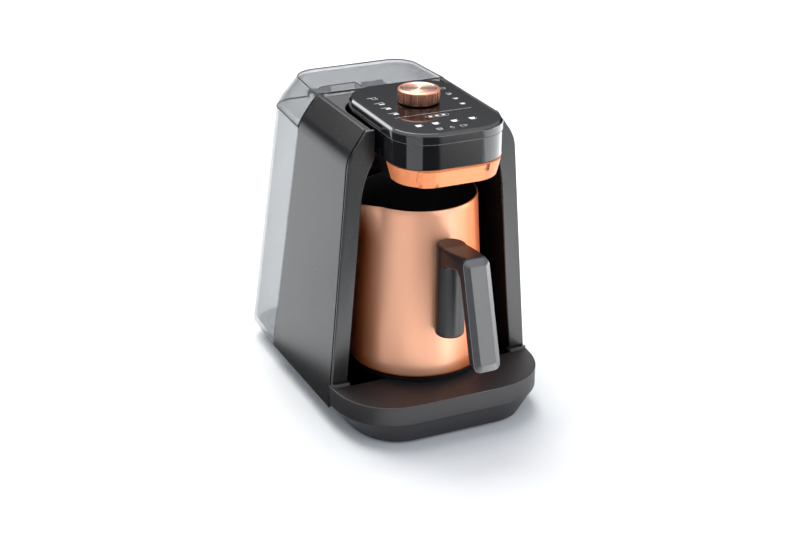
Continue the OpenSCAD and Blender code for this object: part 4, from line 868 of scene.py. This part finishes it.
def line_along(node, name, radius, keep, look="shadow_line_black", least=20):
    """Thin rods along the edges of a node that turn by more than least degrees and pass keep."""
    source = bmesh.new()
    source.from_mesh(nodes[node].data)
    bmesh.ops.remove_doubles(source, verts=source.verts, dist=merge)
    bmesh.ops.dissolve_limit(source, angle_limit=flat, verts=source.verts, edges=source.edges)
    rods = bmesh.new()
    for edge in source.edges:
        if len(edge.link_faces) != 2 or edge.calc_face_angle(0) < math.radians(least):
            continue
        n0, n1 = (f.normal for f in edge.link_faces)
        middle = (edge.verts[0].co + edge.verts[1].co) / 2
        if not keep(middle, n0, n1):
            continue
        inward = -(n0 + n1).normalized() * radius * 0.5
        a, b = (v.co + inward for v in edge.verts)
        lie = (b - a).to_track_quat("Z", "Y").to_matrix().to_4x4()
        bmesh.ops.create_cone(rods, cap_ends=True, segments=6, radius1=radius, radius2=radius,
            depth=(b - a).length + radius / 2, matrix=Matrix.Translation((a + b) / 2) @ lie)
    source.free()
    for face in rods.faces:
        face.smooth = len(face.verts) == 4
    for v in rods.verts:
        v.co.x = min(max(v.co.x, cad_box[0].x), cad_box[1].x)
    piece = piece_from(rods, name, look)
    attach(piece, body_of[node])


print("lines stay within x", round(cad_box[0].x, 4), "and", round(cad_box[1].x, 4))

# %% [markdown]
# Which edges get a line is a matter of place and direction. Each test below takes the middle of
# an edge and the normals of the two faces beside it, so a test reads like a description: on the
# outer skin, in front of the panels, beside a face that looks up.

# %% Edge tests


def outer(node):
    """A test for edges on the outer skin of a node: a face beside them looks away from its axis."""
    low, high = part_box(node)
    core = Vector(((low.x + high.x) / 2, (low.y + high.y) / 2, 0))
    return lambda m, *ns: any(n.xy.length > sideways and n.xy.dot((m - core).xy) > 0 for n in ns)


near, sideways, upward, rearward = 0.0002, 0.3, 0.9, 0.7
deck_skin, ring_skin = outer("deck"), outer("head_ring")
panel_front, cover_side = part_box("side_panel_left")[0].y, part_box("top_cover")[1].x
deck_foot, ring_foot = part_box("deck")[0].z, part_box("head_ring")[0].z


def at_deck_foot(m, a, b):
    """The outer edge where the skirt stands on the pan."""
    return deck_skin(m, a, b) and m.z < deck_foot + near


def at_deck_top(m, a, b):
    """The outer edge of the tray, in front of the panels."""
    in_front = m.z > deck_foot + 0.008 and m.y < panel_front
    return deck_skin(m, a, b) and in_front and max(a.z, b.z) > upward


def at_cover_side(m, a, b):
    """The long upper edges of the cover."""
    return abs(m.x) > cover_side - 0.001 and max(a.z, b.z) > upward


def at_ring_foot(m, a, b):
    """The outer edge where the ring sits on the head."""
    return ring_skin(m, a, b) and m.z < ring_foot + near and m.y < 0


def at_grip_seam(m, a, b):
    """The left edge where the cover meets the grip."""
    return max(a.y, b.y) > rearward and min(a.x, b.x) < -0.5


print("panels start at y", round(panel_front, 4))

# %% Edge lines
line_along("tank_lid", "lid_edges", 0.0005, outer("tank_lid"), "edge_smoke")
# The rod under the skirt and the two seam rods are painted shadow in the gaps between mouldings.
line_along("deck", "deck_gap_shadow", 0.00055, at_deck_foot)
# The grey and pale rods along the tray, the cover, the ring and the grip are painted highlights.
line_along("deck", "deck_highlight_line", 0.00025, at_deck_top, "highlight_line_grey")
for side, away in (("left", -1), ("right", 1)):
    line_along("side_panel_" + side, "seam_" + side, 0.0005,
        lambda m, a, b: m.y < panel_front + near and max(a.x * away, b.x * away) > sideways)
line_along("top_cover", "cover_highlight_line", 0.0003, at_cover_side, "highlight_line_pale")
line_along("head_ring", "ring_highlight_line", 0.00022, at_ring_foot, "highlight_line_grey")
line_along("grip_cover", "grip_highlight_line", 0.0002, at_grip_seam, "highlight_line_pale")

# %% [markdown]
# Last, the bounds of the dressed machine are measured. Looks may round an edge but may not make
# the object grow.

# %% Close
low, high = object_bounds()
